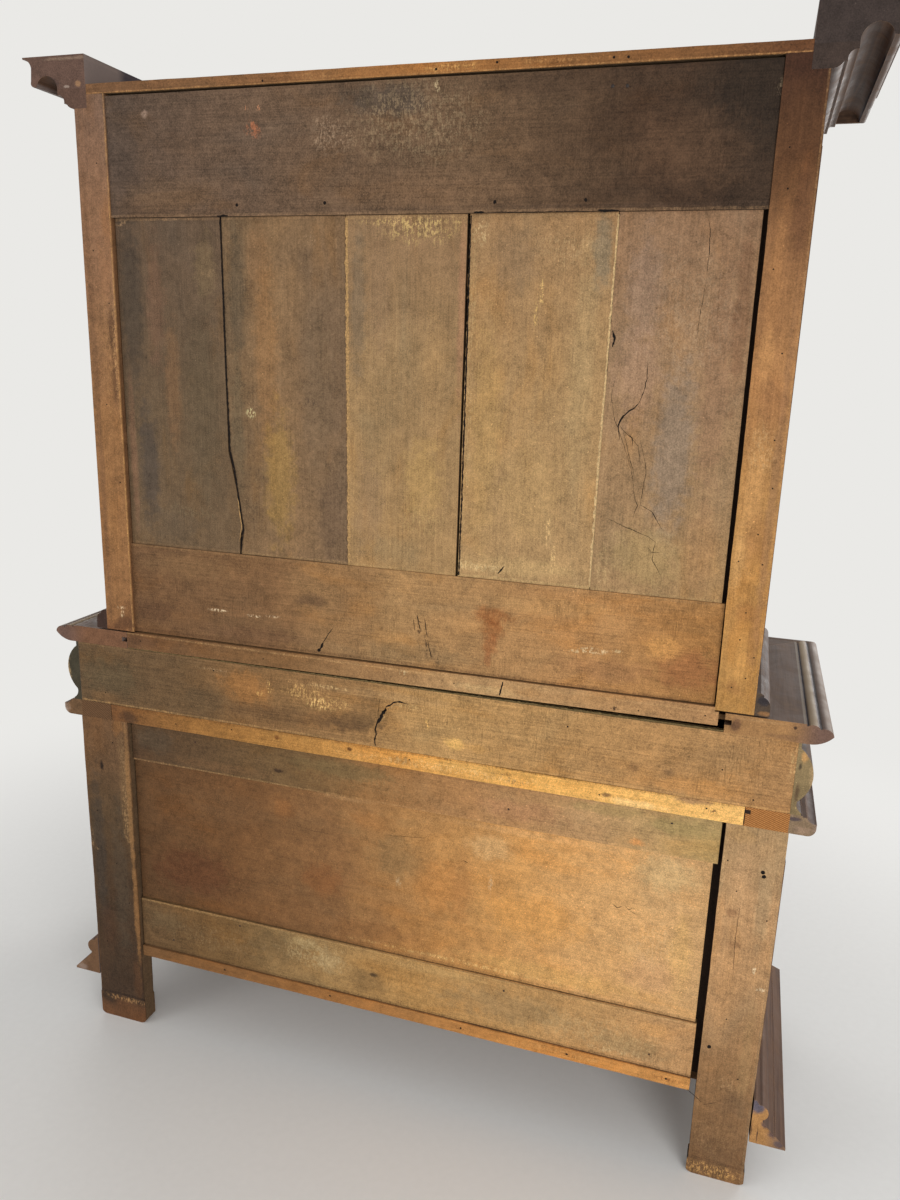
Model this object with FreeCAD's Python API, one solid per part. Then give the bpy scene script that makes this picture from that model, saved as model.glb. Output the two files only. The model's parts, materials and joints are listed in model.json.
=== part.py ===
import FreeCAD, Part

import os

from FreeCAD import Vector

# Two-part sideboard in oak and walnut, in millimetres.
# The front faces -Y, the back stands at +Y and the floor is at zero height.
# Left and right are those of a person who faces the front: right is +X.
# A depth is counted from the back plane towards the front.

# Overall sizes of the two cases
lower_width = 1541.0
lower_depth = 530.0
upper_width = 1367.0
upper_depth = 470.0

# Heights of the layers, from the floor up
base_clearance = 112.0
base_to_bottom_board = 81.0
bottom_board_thickness = 27.0
back_bottom_rail_height = 126.0
back_panel_height = 356.0
back_top_rail_height = 94.0
waist_thickness = 38.0
frieze_height = 139.0
table_thickness = 37.0
upper_side_height = 1048.0
bed_height = 35.0
crown_height = 59.0
top_board_thickness = 18.0
top_board_above_bed = 7.0

# Reach of each moulding past the face that carries it
base_reach = 69.0
base_height = 100.0
waist_reach = 47.0
waist_inset = 4.5
cushion_reach = 31.0
frieze_inset = 5.5
table_reach = 50.5
table_edge_width = 50.0
upper_base_reach = 26.0
upper_base_height = 43.0
bed_reach = 36.0
crown_reach = 112.5

# Outlines, as shares of reach and height; a row of four is an arc through its first point.
# A negative first share is a share of the part that lies over the case.
base_shares = [(0.0, 0.0), (1.0, 0.0), (1.0, 0.05), (0.70, 0.26), (0.66, 0.26), (0.30, 0.54),
               (0.30, 0.58), (0.43, 0.74, 0.24, 0.91), (0.16, 0.91), (0.06, 1.0), (0.0, 1.0)]
waist_shares = [(0.0, 0.0), (0.62, 0.0), (0.90, 0.12, 1.0, 0.42), (1.0, 0.66), (0.74, 0.74, 0.62, 0.93),
                (0.46, 0.93), (0.46, 1.0), (0.0, 1.0)]
cushion_shares = [(-1.0, 0.0), (0.61, 0.0), (0.61, 0.035), (0.36, 0.09, 0.30, 0.19),
                  (1.0, 0.58, 0.16, 0.93), (0.16, 1.0), (-1.0, 1.0)]
table_shares = [(-1.0, 0.0), (0.22, 0.0), (0.72, 0.19, 1.0, 0.52), (0.90, 0.76, 0.56, 0.82), (0.50, 0.82),
                (0.50, 0.88), (0.30, 0.985, 0.10, 0.90), (0.06, 0.90), (0.06, 1.0), (-1.0, 1.0)]
upper_base_shares = [(0.0, 0.0), (1.0, 0.0), (1.0, 0.36), (0.92, 0.62, 0.52, 0.84), (0.52, 0.92),
                     (0.30, 1.0), (0.0, 1.0)]
bed_shares = [(-1.0, 0.0), (0.0, 0.0), (0.30, 0.08, 0.47, 0.27), (0.61, 0.27), (0.68, 0.58, 1.0, 0.70),
              (1.0, 1.0), (-1.0, 1.0)]
crown_shares = [(-1.0, 0.0), (0.32, 0.0), (0.55, 0.42, 0.74, 0.10), (0.79, 0.10), (0.84, 0.14, 0.85, 0.27),
                (0.83, 0.66), (0.87, 0.84, 1.0, 0.95), (1.0, 1.0), (-1.0, 1.0)]
foot_shares = [(0.0, 0.0), (0.62, 0.0), (0.66, 0.05), (1.0, 0.34, 0.66, 0.66), (0.50, 0.68),
               (0.44, 0.76, 0.56, 0.84), (0.80, 0.86), (0.80, 1.0), (0.0, 1.0)]
knob_shares = [(0.0, 0.0), (0.46, 0.0), (0.46, 0.10), (0.30, 0.26, 0.40, 0.44), (0.62, 0.47),
               (1.0, 0.68, 0.60, 0.94), (0.36, 0.95), (0.20, 1.0), (0.0, 1.0)]
bead_shares = [(0.0, 0.0), (1.0, 0.0), (0.86, 0.62, 0.34, 0.78), (0.34, 0.90), (0.20, 1.0), (0.0, 1.0)]

# Rear posts and the back of the lower case
rear_post_depth = 40.0
right_post_face = 125.5
left_post_face = 114.5
right_post_ledge = 22.0
left_post_ledge = 26.0
post_corner_radius = 9.0
back_seat_depth = 28.0
back_top_rail_recess = 12.0
back_panel_recess = 16.0
back_bottom_rail_recess = 10.0
floor_edge_recess = 4.0
panel_gap_right = 1.0
panel_gap_left = 13.5
bottom_rail_gap_left = 10.5
top_rail_gap_left = 5.0

# Front frame of the lower case
front_post_width = 90.0
front_post_depth = 45.0
lower_centre_width = 90.0
front_rail_top_above_base = 58.0
rail_thickness = 28.5
side_top_rail_height = 80.0
foot_radius = 52.0

# Waist frame and frieze
waist_rail_width = 78.0
frieze_board_thickness = 20.0
frieze_side_thickness = 25.0
corner_block_width = 90.0
table_inner_width = 136.0
field_board_thickness = 28.0
field_gap_right = 1.0
field_gap_left = 12.0
field_edge_low_right = 1.5
field_edge_low_left = 11.0
field_edge_rise_right = 1.5
field_edge_rise_left = 8.5
groove_depth = 12.0
groove_height = 10.0
groove_below_top = 12.0
tongue_stop = 25.0

# Rear stiles, boards and front frame of the upper case
stile_face = 68.0
stile_depth = 40.0
stile_ledge = 20.0
board_seat_depth = 22.0
wide_board_height = 217.0
wide_board_recess = 3.0
wide_board_top_gap = 4.0
lap_height = 30.0
lap_recess = 12.0
upright_board_recess = 10.0
bottom_board_recess = 8.0
bottom_board_top_height = 200.0
bottom_board_end_gap = 2.0
settle_gap = 3.0
wedge_gap_right = 3.0
wedge_gap_left = 10.0
front_stile_width = 80.0
upper_centre_width = 80.0
upper_top_rail_height = 80.0
upper_bottom_rail_height = 60.0
upper_side_rail_height = 100.0

# Joints between the upright back boards, from left to right.
# In a row, the first number is a share of the boards' height and the second of their whole width.
joint_shares = [
    [(0.0, 0.000), (1.0, 0.000)],
    [(0.0, 0.193), (1.0, 0.188)],
    [(0.0, 0.404), (1.0, 0.403)],
    [(0.0, 0.590), (1.0, 0.596)],
    [(0.0, 0.787), (0.06, 0.786), (0.08, 0.781), (0.18, 0.788), (0.28, 0.799), (0.32, 0.804), (1.0, 0.808)],
    [(0.0, 1.000), (1.0, 1.000)],
]
joint_widths = [0.0, 1.5, 5.0, 1.0, 3.0, 0.0]
board_steps = [0.0, 1.5, 0.5, 2.0, 1.0]
side_gap_left = 8.0
side_gap_right = 2.5

# Panels, their grooves and the mitred beads around them
tongue_thickness = 8.0
tongue_entry = 9.0
tongue_clearance = 0.2
tongue_setback = 9.0
panel_border = 16.0
panel_bevel = 38.0
panel_rise = 7.0
bead_reach = 13.0
bead_rise = 11.0

# Doors, surface hinges and turn knobs
door_thickness = 26.0
door_gap = 2.0
door_stile_width = 78.0
door_rail_height = 84.0
hinge_height = 84.0
hinge_end_distance = 70.0
leaf_width = 27.0
leaf_thickness = 2.0
barrel_radius = 5.5
barrel_clearance = 0.4
leaf_clearance = 1.0
pin_radius = 2.5
pin_clearance = 0.05
pin_head_radius = 4.2
pin_head_height = 5.0
knuckle_gap = 0.4
knob_radius = 17.0
knob_length = 34.0
knob_clearance = 0.3
knob_edge_distance = 34.0
spindle_radius = 6.0
spindle_clearance = 0.06
button_reach = 60.0
button_tail = 16.0
button_width = 24.0
button_thickness = 12.0
button_clearance = 0.6

# Drawers and their runners
drawer_gap = 2.0
drawer_wall = 12.0
drawer_side_height = 104.0
drawer_back_height = 82.0
drawer_back_room = 49.5
drawer_bottom_thickness = 8.0
drawer_bottom_rise = 10.0
drawer_bottom_entry = 6.0
tail_count = 3
tail_length = 14.0
tail_slope = 4.0
drawer_knob_radius = 15.0
drawer_knob_length = 26.0
knob_flat_depth = 1.5
knob_flat_radius = 8.0
knob_peg_radius = 6.0
knob_peg_length = 20.0
knob_spread_share = 0.27
runner_thickness = 12.0
runner_bearing = 30.0
guide_width = 26.0
guide_height = 24.0
guide_clearance = 1.0
stop_clearance = 0.5
kicker_clearance = 2.0

# Shelves and cleats
shelf_thickness = 20.0
shelf_setback = 62.0
cleat_size = 24.0
batten_height = 20.0
lower_shelf_share = 0.50
upper_shelf_shares = [0.36, 0.68]

# How far a cutting shape runs past what it cuts
overrun = 5.0

# Levels, depths and half sizes that follow from the sizes above
lower_half = lower_width / 2
upper_half = upper_width / 2
total_depth = lower_depth + base_reach
back_y = total_depth / 2
z_base = base_clearance
z_bottom = z_base + base_to_bottom_board
z_bottom_top = z_bottom + bottom_board_thickness
z_panel = z_bottom_top + back_bottom_rail_height
z_top_rail = z_panel + back_panel_height
z_waist = z_top_rail + back_top_rail_height
z_frieze = z_waist + waist_thickness
z_table = z_frieze + frieze_height
z_upper = z_table + table_thickness
z_bed = z_upper + upper_side_height
z_crown = z_bed + bed_height
z_top_board = z_crown + top_board_above_bed - top_board_thickness
z_wide_top = z_top_board - wide_board_top_gap
z_wide_low = z_wide_top - wide_board_height
z_upright_low = z_upper + bottom_board_top_height
lower_inner = lower_half - rail_thickness
upper_inner = upper_half - rail_thickness
waist_half = lower_half - waist_inset
waist_front = lower_depth - waist_inset
waist_inner = waist_half - waist_rail_width
frieze_half = lower_half - frieze_inset
frieze_front = lower_depth - frieze_inset
table_half = lower_half + table_reach - table_edge_width
table_front = lower_depth + table_reach - table_edge_width
field_half = table_half - table_inner_width
field_front = table_front - table_inner_width
z_field = z_upper - field_board_thickness
right_post_inner = lower_half - right_post_face
left_post_inner = lower_half - left_post_face
stile_inner = upper_half - stile_face
ledge_inner = stile_inner - stile_ledge
front_inner = lower_half - front_post_width
upper_front_inner = upper_half - front_stile_width
lower_centre = lower_centre_width / 2
upper_centre = upper_centre_width / 2
z_door_rail = z_base + base_height + front_rail_top_above_base
z_upper_floor = z_upper + upper_bottom_rail_height
z_upper_rail = z_bed - upper_top_rail_height
drawer_inner = lower_centre + drawer_gap
drawer_outer = frieze_half - corner_block_width - drawer_gap
drawer_back_face = frieze_front - frieze_side_thickness
drawer_rear = frieze_board_thickness + drawer_back_room
z_drawer = z_frieze + runner_thickness
knob_setback = door_thickness + button_clearance + button_thickness


def at(x, depth, z):
    """Point at a depth counted from the back plane."""
    return Vector(x, back_y - depth, z)


def block(x0, x1, depth0, depth1, z0, z1):
    """Box between two places across, two depths and two heights."""
    return Part.makeBox(x1 - x0, depth1 - depth0, z1 - z0, at(x0, depth1, z0))


def mirrored(shape):
    """The same piece on the other side."""
    return shape.mirror(Vector(0, 0, 0), Vector(1, 0, 0))


def both_sides(shape):
    return [shape, mirrored(shape)]


def outline_face(rows, place):
    """Flat face inside an outline; a row of four is an arc through its first point."""
    first = place(*rows[0])
    start = first
    edges = []
    for row in rows[1:]:
        end = place(*row[-2:])
        if len(row) > 2:
            edges.append(Part.Arc(start, place(*row[:2]), end).toShape())
        else:
            edges.append(Part.LineSegment(start, end).toShape())
        start = end
    if (start - first).Length > 0:
        edges.append(Part.LineSegment(start, first).toShape())
    return Part.Face(Part.Wire(edges))


def plan_board(points, z0, z1):
    """Board with the plan outline given as rows of place across and depth."""
    face = outline_face(points, lambda x, depth: at(x, depth, z0))
    return face.extrude(Vector(0, 0, z1 - z0))


def turned(rows, radius, length, centre, axis):
    """Turned piece: its outline is revolved about an axis through the centre of its base."""
    face = outline_face(rows, lambda a, b: Vector(a * radius, 0, b * length))
    shape = face.revolve(Vector(0, 0, 0), Vector(0, 0, 1), 360)
    shape.Placement = FreeCAD.Placement(centre, FreeCAD.Rotation(Vector(0, 0, 1), axis))
    return shape


def rod(radius, centre, axis, length):
    return Part.makeCylinder(radius, length, centre, axis)


def moulding_runs(rows, half, front, low, reach, height, inner):
    """Right, left and front runs of a moulding, cut to mitres at the front corners."""
    def across(a):
        return a * reach if a > 0 else a * inner

    side = outline_face(rows, lambda a, b: at(half + across(a), 0, low + b * height))
    side = side.extrude(Vector(0, -(front + reach), 0))
    ends = half + reach
    face = outline_face(rows, lambda a, b: at(-ends, front + across(a), low + b * height))
    face = face.extrude(Vector(2 * ends, 0, 0))
    outer = reach + overrun
    inside = inner + overrun
    corners = [(half + outer, front + outer), (half - inside, front - inside),
               (inside - half, front - inside), (-half - outer, front + outer)]
    wedge = plan_board(corners, low - overrun, low + height + overrun)
    side = side.cut(wedge)
    return [side, mirrored(side), face.common(wedge)]


def lower_rear_post(side):
    """Flat rear post down to the floor, rebated for the back of the case."""
    right = side > 0
    face_width = right_post_face if right else left_post_face
    ledge = right_post_ledge if right else left_post_ledge
    inner = lower_half - face_width
    post = block(inner - ledge, lower_half, 0, rear_post_depth, 0, z_waist)
    rebate = block(inner - ledge - overrun, inner, -overrun, back_seat_depth, z_bottom, z_waist + overrun)
    below = block(inner - ledge - overrun, inner, -overrun, rear_post_depth + overrun,
                  -overrun, z_bottom_top)
    post = post.cut(rebate).cut(below)
    feet = [edge for edge in post.Edges if is_foot_edge(edge, inner)]
    post = post.makeFillet(post_corner_radius, feet)
    return post if right else mirrored(post)


def is_foot_edge(edge, foot_inner):
    """True for the two bottom edges that run from back to front."""
    centre = edge.CenterOfMass
    runs_deep = abs(edge.Vertexes[0].Y - edge.Vertexes[-1].Y) > rear_post_depth / 2
    at_side = min(abs(centre.x - lower_half), abs(centre.x - foot_inner)) < overrun
    return centre.z < overrun and runs_deep and at_side


def lower_back():
    """Bottom rail, wide panel and top rail of the back, seated on the posts' ledges."""
    right = right_post_inner
    left = -left_post_inner
    bottom = block(left + bottom_rail_gap_left, right - panel_gap_right,
                   back_bottom_rail_recess, back_seat_depth, z_bottom_top, z_panel)
    panel = block(left + panel_gap_left, right - panel_gap_right,
                  back_panel_recess, back_seat_depth, z_panel, z_top_rail)
    top = block(left + top_rail_gap_left, right, back_top_rail_recess, back_seat_depth, z_top_rail, z_waist)
    return bottom, panel, top


def bottom_board():
    """Floor of the lower case; its back edge shows between the posts."""
    right = right_post_inner - panel_gap_right
    left = bottom_rail_gap_left - left_post_inner
    front = lower_depth - rail_thickness
    points = [(left, floor_edge_recess), (right, floor_edge_recess), (right, rear_post_depth),
              (lower_inner, rear_post_depth), (lower_inner, lower_depth - front_post_depth),
              (front_inner, lower_depth - front_post_depth),
              (front_inner, front), (-front_inner, front), (-front_inner, lower_depth - front_post_depth),
              (-lower_inner, lower_depth - front_post_depth), (-lower_inner, rear_post_depth),
              (left, rear_post_depth)]
    return plan_board(points, z_bottom, z_bottom_top)


def lower_front_frame():
    """Two front posts, the centre stile and the bottom rail."""
    post = block(front_inner, lower_half, lower_depth - front_post_depth, lower_depth, z_base, z_waist)
    rail = block(-front_inner, front_inner, lower_depth - rail_thickness, lower_depth, z_base, z_door_rail)
    centre = block(-lower_centre, lower_centre, lower_depth - door_thickness, lower_depth,
                   z_door_rail, z_waist)
    slot = side_panel_slot(lower_side)
    return both_sides(post.cut(slot)) + [centre, rail]


def front_feet():
    middle = lower_half - front_post_width / 2
    depth = lower_depth - front_post_depth
    return both_sides(turned(foot_shares, foot_radius, z_base, at(middle, depth, 0), Vector(0, 0, 1)))


# A side opening: outer face, depths of its two posts and heights of its two rails
lower_side = (lower_half, rear_post_depth, lower_depth - front_post_depth, z_door_rail,
              z_waist - side_top_rail_height)
upper_side = (upper_half, stile_depth, upper_depth - stile_depth, z_upper + upper_side_rail_height,
              z_bed - upper_side_rail_height)


def side_panel_slot(opening):
    """Groove all round a side opening for the tongue of its panel."""
    face, depth0, depth1, z0, z1 = opening
    outer = face - tongue_setback
    grow = tongue_entry + tongue_clearance
    return block(outer - tongue_thickness - tongue_clearance, outer + tongue_clearance,
                 depth0 - grow, depth1 + grow, z0 - grow, z1 + grow)


def side_rails(opening, z_low, z_high):
    """Bottom and top rail between the rear and front posts."""
    face, depth0, depth1, z0, z1 = opening
    slot = side_panel_slot(opening)
    low = block(face - rail_thickness, face, depth0, depth1, z_low, z0).cut(slot)
    high = block(face - rail_thickness, face, depth0, depth1, z1, z_high).cut(slot)
    return both_sides(low) + both_sides(high)


def fielded_panel(width, height):
    """Raised and fielded panel; its opening's corner is the origin and it faces -Y."""
    board = Part.makeBox(width + 2 * tongue_entry, tongue_thickness, height + 2 * tongue_entry,
                         Vector(-tongue_entry, 0, -tongue_entry))
    wires = []
    for inset, y in ((panel_border, 0), (panel_border + panel_bevel, -panel_rise)):
        corners = [(inset, inset), (width - inset, inset), (width - inset, height - inset),
                   (inset, height - inset), (inset, inset)]
        wires.append(Part.makePolygon([Vector(x, y, z) for x, z in corners]))
    return board.fuse(Part.makeLoft(wires, True, True)).removeSplitter()


def bead_frame(width, height):
    """Four mitred beads around an opening, on the face of the panel's tongue."""
    def low_place(a, b):
        return Vector(0, -b * bead_rise, a * bead_reach)

    def side_place(a, b):
        return Vector(a * bead_reach, -b * bead_rise, 0)

    reach = bead_reach
    low = outline_face(bead_shares, low_place).extrude(Vector(width, 0, 0))
    side = outline_face(bead_shares, side_place).extrude(Vector(0, 0, height))
    low = low.common(mitre_plate([(0, 0), (width, 0), (width - reach, reach), (reach, reach)]))
    side = side.common(mitre_plate([(0, 0), (reach, reach), (reach, height - reach), (0, height)]))
    middle = Vector(width / 2, 0, height / 2)
    high = low.mirror(middle, Vector(0, 0, 1))
    other = side.mirror(middle, Vector(1, 0, 0))
    return [low, high, side, other]


def mitre_plate(corners):
    """Plate seen from the front, as thick as the beads."""
    plate = outline_face(corners, lambda x, z: Vector(x, overrun, z))
    return plate.extrude(Vector(0, -(bead_rise + 2 * overrun), 0))


def to_right_side(shape, opening):
    """Turn a panel or bead from facing -Y to facing +X and set it in a side opening."""
    face, depth0, depth1, z0, z1 = opening
    corner = at(face - tongue_setback, depth1, z0)
    shape = shape.copy()
    shape.Placement = FreeCAD.Placement(corner, FreeCAD.Rotation(Vector(0, 0, 1), 90))
    return shape


def side_panel_set(opening):
    """Panels of the two sides and their beads."""
    face, depth0, depth1, z0, z1 = opening
    width = depth1 - depth0
    height = z1 - z0
    panel = to_right_side(fielded_panel(width, height), opening)
    beads = [to_right_side(bead, opening) for bead in bead_frame(width, height)]
    pieces = both_sides(panel)
    for bead in beads:
        pieces += both_sides(bead)
    return pieces


def waist_rails():
    """Flat rails under the frieze: one along each side and one across the front."""
    side = block(waist_inner, waist_half, 0, waist_front, z_waist, z_frieze)
    front = block(-waist_inner, waist_inner, waist_front - waist_rail_width, waist_front, z_waist, z_frieze)
    return both_sides(side) + [front]


def waist_back_strip():
    half = waist_inner - panel_gap_right
    return block(-half, half, 0, waist_rail_width / 2, z_waist, z_frieze)


def frieze_runs():
    return moulding_runs(cushion_shares, frieze_half, frieze_front, z_frieze, cushion_reach,
                         frieze_height, frieze_side_thickness)


def frieze_boards():
    """Cushion boards of the sides and the three fixed blocks of the front."""
    right, left, front = frieze_runs()
    rebate = block(-frieze_half, frieze_half, -overrun, frieze_board_thickness, z_frieze, z_table)
    reach = frieze_half + cushion_reach + overrun
    deep = frieze_front + cushion_reach + overrun
    corner = block(drawer_outer + drawer_gap, reach, 0, deep, z_frieze, z_table).common(front)
    centre = block(-lower_centre, lower_centre, 0, deep, z_frieze, z_table).common(front)
    return [right.cut(rebate), left.cut(rebate)] + both_sides(corner) + [centre]


def frieze_back_board():
    return block(-frieze_half, frieze_half, 0, frieze_board_thickness, z_frieze, z_table)


def drawer_runners():
    """T runner in the middle, L runners at the sides and kickers over the drawer sides."""
    back = frieze_board_thickness
    front = drawer_back_face - stop_clearance
    top = z_drawer + guide_height
    bearing = drawer_inner + runner_bearing
    guide = drawer_inner - guide_clearance
    middle = block(-bearing, bearing, back, front, z_frieze, z_drawer)
    middle = middle.fuse(block(-guide, guide, back, front, z_drawer, top)).removeSplitter()
    wall = drawer_outer + guide_clearance
    outer = wall + guide_width
    side = block(drawer_outer - runner_bearing, outer, back, front, z_frieze, z_drawer)
    side = side.fuse(block(wall, outer, back, front, z_drawer, top)).removeSplitter()
    kicker_low = z_drawer + drawer_side_height + kicker_clearance
    kickers = both_sides(block(drawer_outer - runner_bearing, outer, back, field_front, kicker_low, z_table))
    kickers += [block(-bearing, bearing, back, field_front, kicker_low, z_field)]
    return [middle] + both_sides(side) + kickers


def drawer_front():
    """Cushion front of the right drawer, with bores and flats for its knobs."""
    front = frieze_runs()[2]
    deep = frieze_front + cushion_reach + overrun
    face = block(drawer_inner, drawer_outer, 0, deep, z_frieze + drawer_gap, z_table - drawer_gap)
    shape = front.common(face)
    for centre in knob_centres():
        flat = at(centre.x, frieze_front + cushion_reach - knob_flat_depth, centre.z)
        hole = at(centre.x, frieze_front + cushion_reach - knob_flat_depth - knob_peg_length, centre.z)
        shape = shape.cut(rod(knob_flat_radius, flat, Vector(0, -1, 0), cushion_reach))
        shape = shape.cut(rod(knob_peg_radius + knob_clearance, hole, Vector(0, -1, 0), cushion_reach))
    return shape.cut(drawer_tails(drawer_outer, -1)).cut(drawer_tails(drawer_inner, 1))


def knob_centres():
    """Middle of each knob's seat on the right drawer."""
    middle = (drawer_inner + drawer_outer) / 2
    spread = (drawer_outer - drawer_inner) * knob_spread_share
    z = z_frieze + frieze_height * cushion_shares[4][1]
    return [at(middle + step * spread, frieze_front + cushion_reach - knob_flat_depth, z) for step in (-1, 1)]


def drawer_knobs():
    knobs = []
    for centre in knob_centres():
        knob = turned(knob_shares, drawer_knob_radius, drawer_knob_length, centre, Vector(0, -1, 0))
        peg = rod(knob_peg_radius, centre + Vector(0, knob_peg_length, 0), Vector(0, -1, 0), knob_peg_length)
        knobs.append(knob.fuse(peg))
    return knobs


def drawer_tails(x, towards):
    """Dovetails that join a drawer side to its front; the side's outer face is at x."""
    pitch = drawer_side_height / tail_count
    tails = []
    for number in range(tail_count):
        middle = z_drawer + (number + 1 / 2) * pitch
        root = pitch / 4
        tip = root + tail_slope
        points = [(drawer_back_face, middle - root), (drawer_back_face + tail_length, middle - tip),
                  (drawer_back_face + tail_length, middle + tip), (drawer_back_face, middle + root)]
        face = outline_face(points, lambda depth, z: at(x, depth, z))
        tails.append(face.extrude(Vector(towards * drawer_wall, 0, 0)))
    return tails[0].fuse(tails[1:])


def drawer_box():
    """Sides, back and bottom of the right drawer."""
    back = drawer_rear
    top = z_drawer + drawer_side_height
    z_floor = z_drawer + drawer_bottom_rise
    z_floor_top = z_floor + drawer_bottom_thickness
    inner0 = drawer_inner + drawer_wall
    inner1 = drawer_outer - drawer_wall
    groove = block(inner0 - drawer_bottom_entry, inner1 + drawer_bottom_entry, back, drawer_back_face,
                   z_floor, z_floor_top)
    left = block(drawer_inner, inner0, back, drawer_back_face, z_drawer, top).cut(groove)
    right = block(inner1, drawer_outer, back, drawer_back_face, z_drawer, top).cut(groove)
    left = left.fuse(drawer_tails(drawer_inner, 1)).removeSplitter()
    right = right.fuse(drawer_tails(drawer_outer, -1)).removeSplitter()
    rear = block(inner0, inner1, back, back + drawer_wall, z_floor_top, z_floor_top + drawer_back_height)
    return [left, right, rear, groove]


def table_frame():
    """Moulded end boards and front board of the table, grooved for the field board."""
    right, left, front = moulding_runs(table_shares, table_half, table_front, z_table, table_edge_width,
                                       table_thickness, table_inner_width)
    top = z_upper - groove_below_top
    groove = block(-field_half - groove_depth, field_half + groove_depth, -overrun,
                   field_front + groove_depth, top - groove_height, top)
    return right.cut(groove), left.cut(groove), front.cut(groove)


def table_field_board():
    """Board between the moulded ones, with a tongue on three edges; its back edge is out of true."""
    left = field_gap_left - field_half
    right = field_half - field_gap_right
    board = block(left, right, frieze_board_thickness, field_front, z_field, z_upper)
    points = [(left, z_table + field_edge_low_left), (right, z_table + field_edge_low_right),
              (right, z_upper), (stile_inner, z_upper), (stile_inner, z_upper + field_edge_rise_right),
              (-stile_inner, z_upper + field_edge_rise_left), (-stile_inner, z_upper), (left, z_upper)]
    edge = outline_face(points, lambda x, z: at(x, frieze_board_thickness, z))
    board = board.fuse(edge.extrude(Vector(0, frieze_board_thickness, 0)))
    top = z_upper - groove_below_top
    entry = groove_depth - tongue_clearance
    tongue = block(-field_half - entry, field_half + entry, tongue_stop, field_front + entry,
                   top - groove_height + tongue_clearance, top - tongue_clearance)
    return board.fuse(tongue).removeSplitter()


def upper_rear_stile():
    """Rear stile with a ledge for the boards and a notch under the cornice."""
    post = block(ledge_inner, upper_half, 0, stile_depth, z_upper + settle_gap, z_top_board)
    rebate = block(ledge_inner - overrun, stile_inner, -overrun, board_seat_depth, z_upper,
                   z_top_board + overrun)
    notch = block(upper_inner, upper_half + overrun, -overrun, stile_depth + overrun, z_bed,
                  z_top_board + overrun)
    return post.cut(rebate).cut(notch).cut(side_panel_slot(upper_side))


def upright_board(number):
    """One upright back board; its two long edges follow the measured joints."""
    left = side_gap_left - stile_inner
    width = 2 * stile_inner - side_gap_left - side_gap_right
    low = z_upright_low
    height = z_wide_low - z_upright_low
    left_edge = [(left + width * s + joint_widths[number] / 2, low + height * h)
                 for h, s in joint_shares[number]]
    right_edge = [(left + width * s - joint_widths[number + 1] / 2, low + height * h)
                  for h, s in joint_shares[number + 1]]
    left_edge[-1] = (left_edge[-1][0], left_edge[-1][1] + lap_height)
    right_edge[-1] = (right_edge[-1][0], right_edge[-1][1] + lap_height)
    recess = upright_board_recess + board_steps[number]
    face = outline_face(left_edge + right_edge[::-1], lambda x, z: at(x, board_seat_depth, z))
    board = face.extrude(Vector(0, board_seat_depth - recess, 0))
    lap = block(-stile_inner, stile_inner, recess - overrun, lap_recess, z_wide_low,
                z_wide_low + lap_height + overrun)
    return board.cut(lap)


def wide_top_board():
    """Wide cross board at the head of the back; its lower edge laps the upright boards."""
    board = block(-stile_inner, stile_inner, wide_board_recess, board_seat_depth, z_wide_low, z_wide_top)
    lap = block(-upper_half, upper_half, lap_recess, board_seat_depth + overrun, z_wide_low - overrun,
                z_wide_low + lap_height)
    return board.cut(lap)


def wide_bottom_board():
    """Wide cross board at the foot of the back, sawn a little out of square."""
    half = stile_inner
    points = [(bottom_board_end_gap - half, z_upper + wedge_gap_left), (half, z_upper + wedge_gap_right),
              (half, z_upright_low), (bottom_board_end_gap - half, z_upright_low)]
    face = outline_face(points, lambda x, z: at(x, board_seat_depth, z))
    return face.extrude(Vector(0, board_seat_depth - bottom_board_recess, 0))


def upper_front_frame():
    """Front stiles, centre stile, top rail and bottom rail of the upper case."""
    back = upper_depth - rail_thickness
    stile = block(upper_front_inner, upper_half, upper_depth - stile_depth, upper_depth, z_upper, z_bed)
    stile = stile.cut(side_panel_slot(upper_side))
    top = block(-upper_front_inner, upper_front_inner, back, upper_depth, z_upper_rail, z_bed)
    low = block(-upper_front_inner, upper_front_inner, back, upper_depth, z_upper, z_upper_floor)
    centre = block(-upper_centre, upper_centre, upper_depth - door_thickness, upper_depth,
                   z_upper_floor, z_upper_rail)
    return both_sides(stile) + [top, low, centre]


def upper_floor_board():
    """Floor of the upper case, notched around its four corner posts."""
    back_stop = upper_depth - stile_depth
    front = upper_depth - rail_thickness
    points = [(ledge_inner, board_seat_depth), (ledge_inner, stile_depth), (upper_inner, stile_depth),
              (upper_inner, back_stop), (upper_front_inner, back_stop), (upper_front_inner, front)]
    points += [(-x, depth) for x, depth in reversed(points)]
    return plan_board(points, z_upper_floor - shelf_thickness, z_upper_floor)


def upper_top_board():
    """Top of the case inside the cornice; its back edge shows as a strip."""
    return block(-upper_inner, upper_inner, 0, upper_depth - rail_thickness, z_top_board,
                 z_top_board + top_board_thickness)


def shelf_levels():
    """Under sides of the lower shelf and the two upper shelves."""
    lower = z_bottom_top + (z_waist - z_bottom_top) * lower_shelf_share
    upper = [z_upper_floor + (z_bed - z_upper_floor) * share for share in upper_shelf_shares]
    return lower, upper


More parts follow.
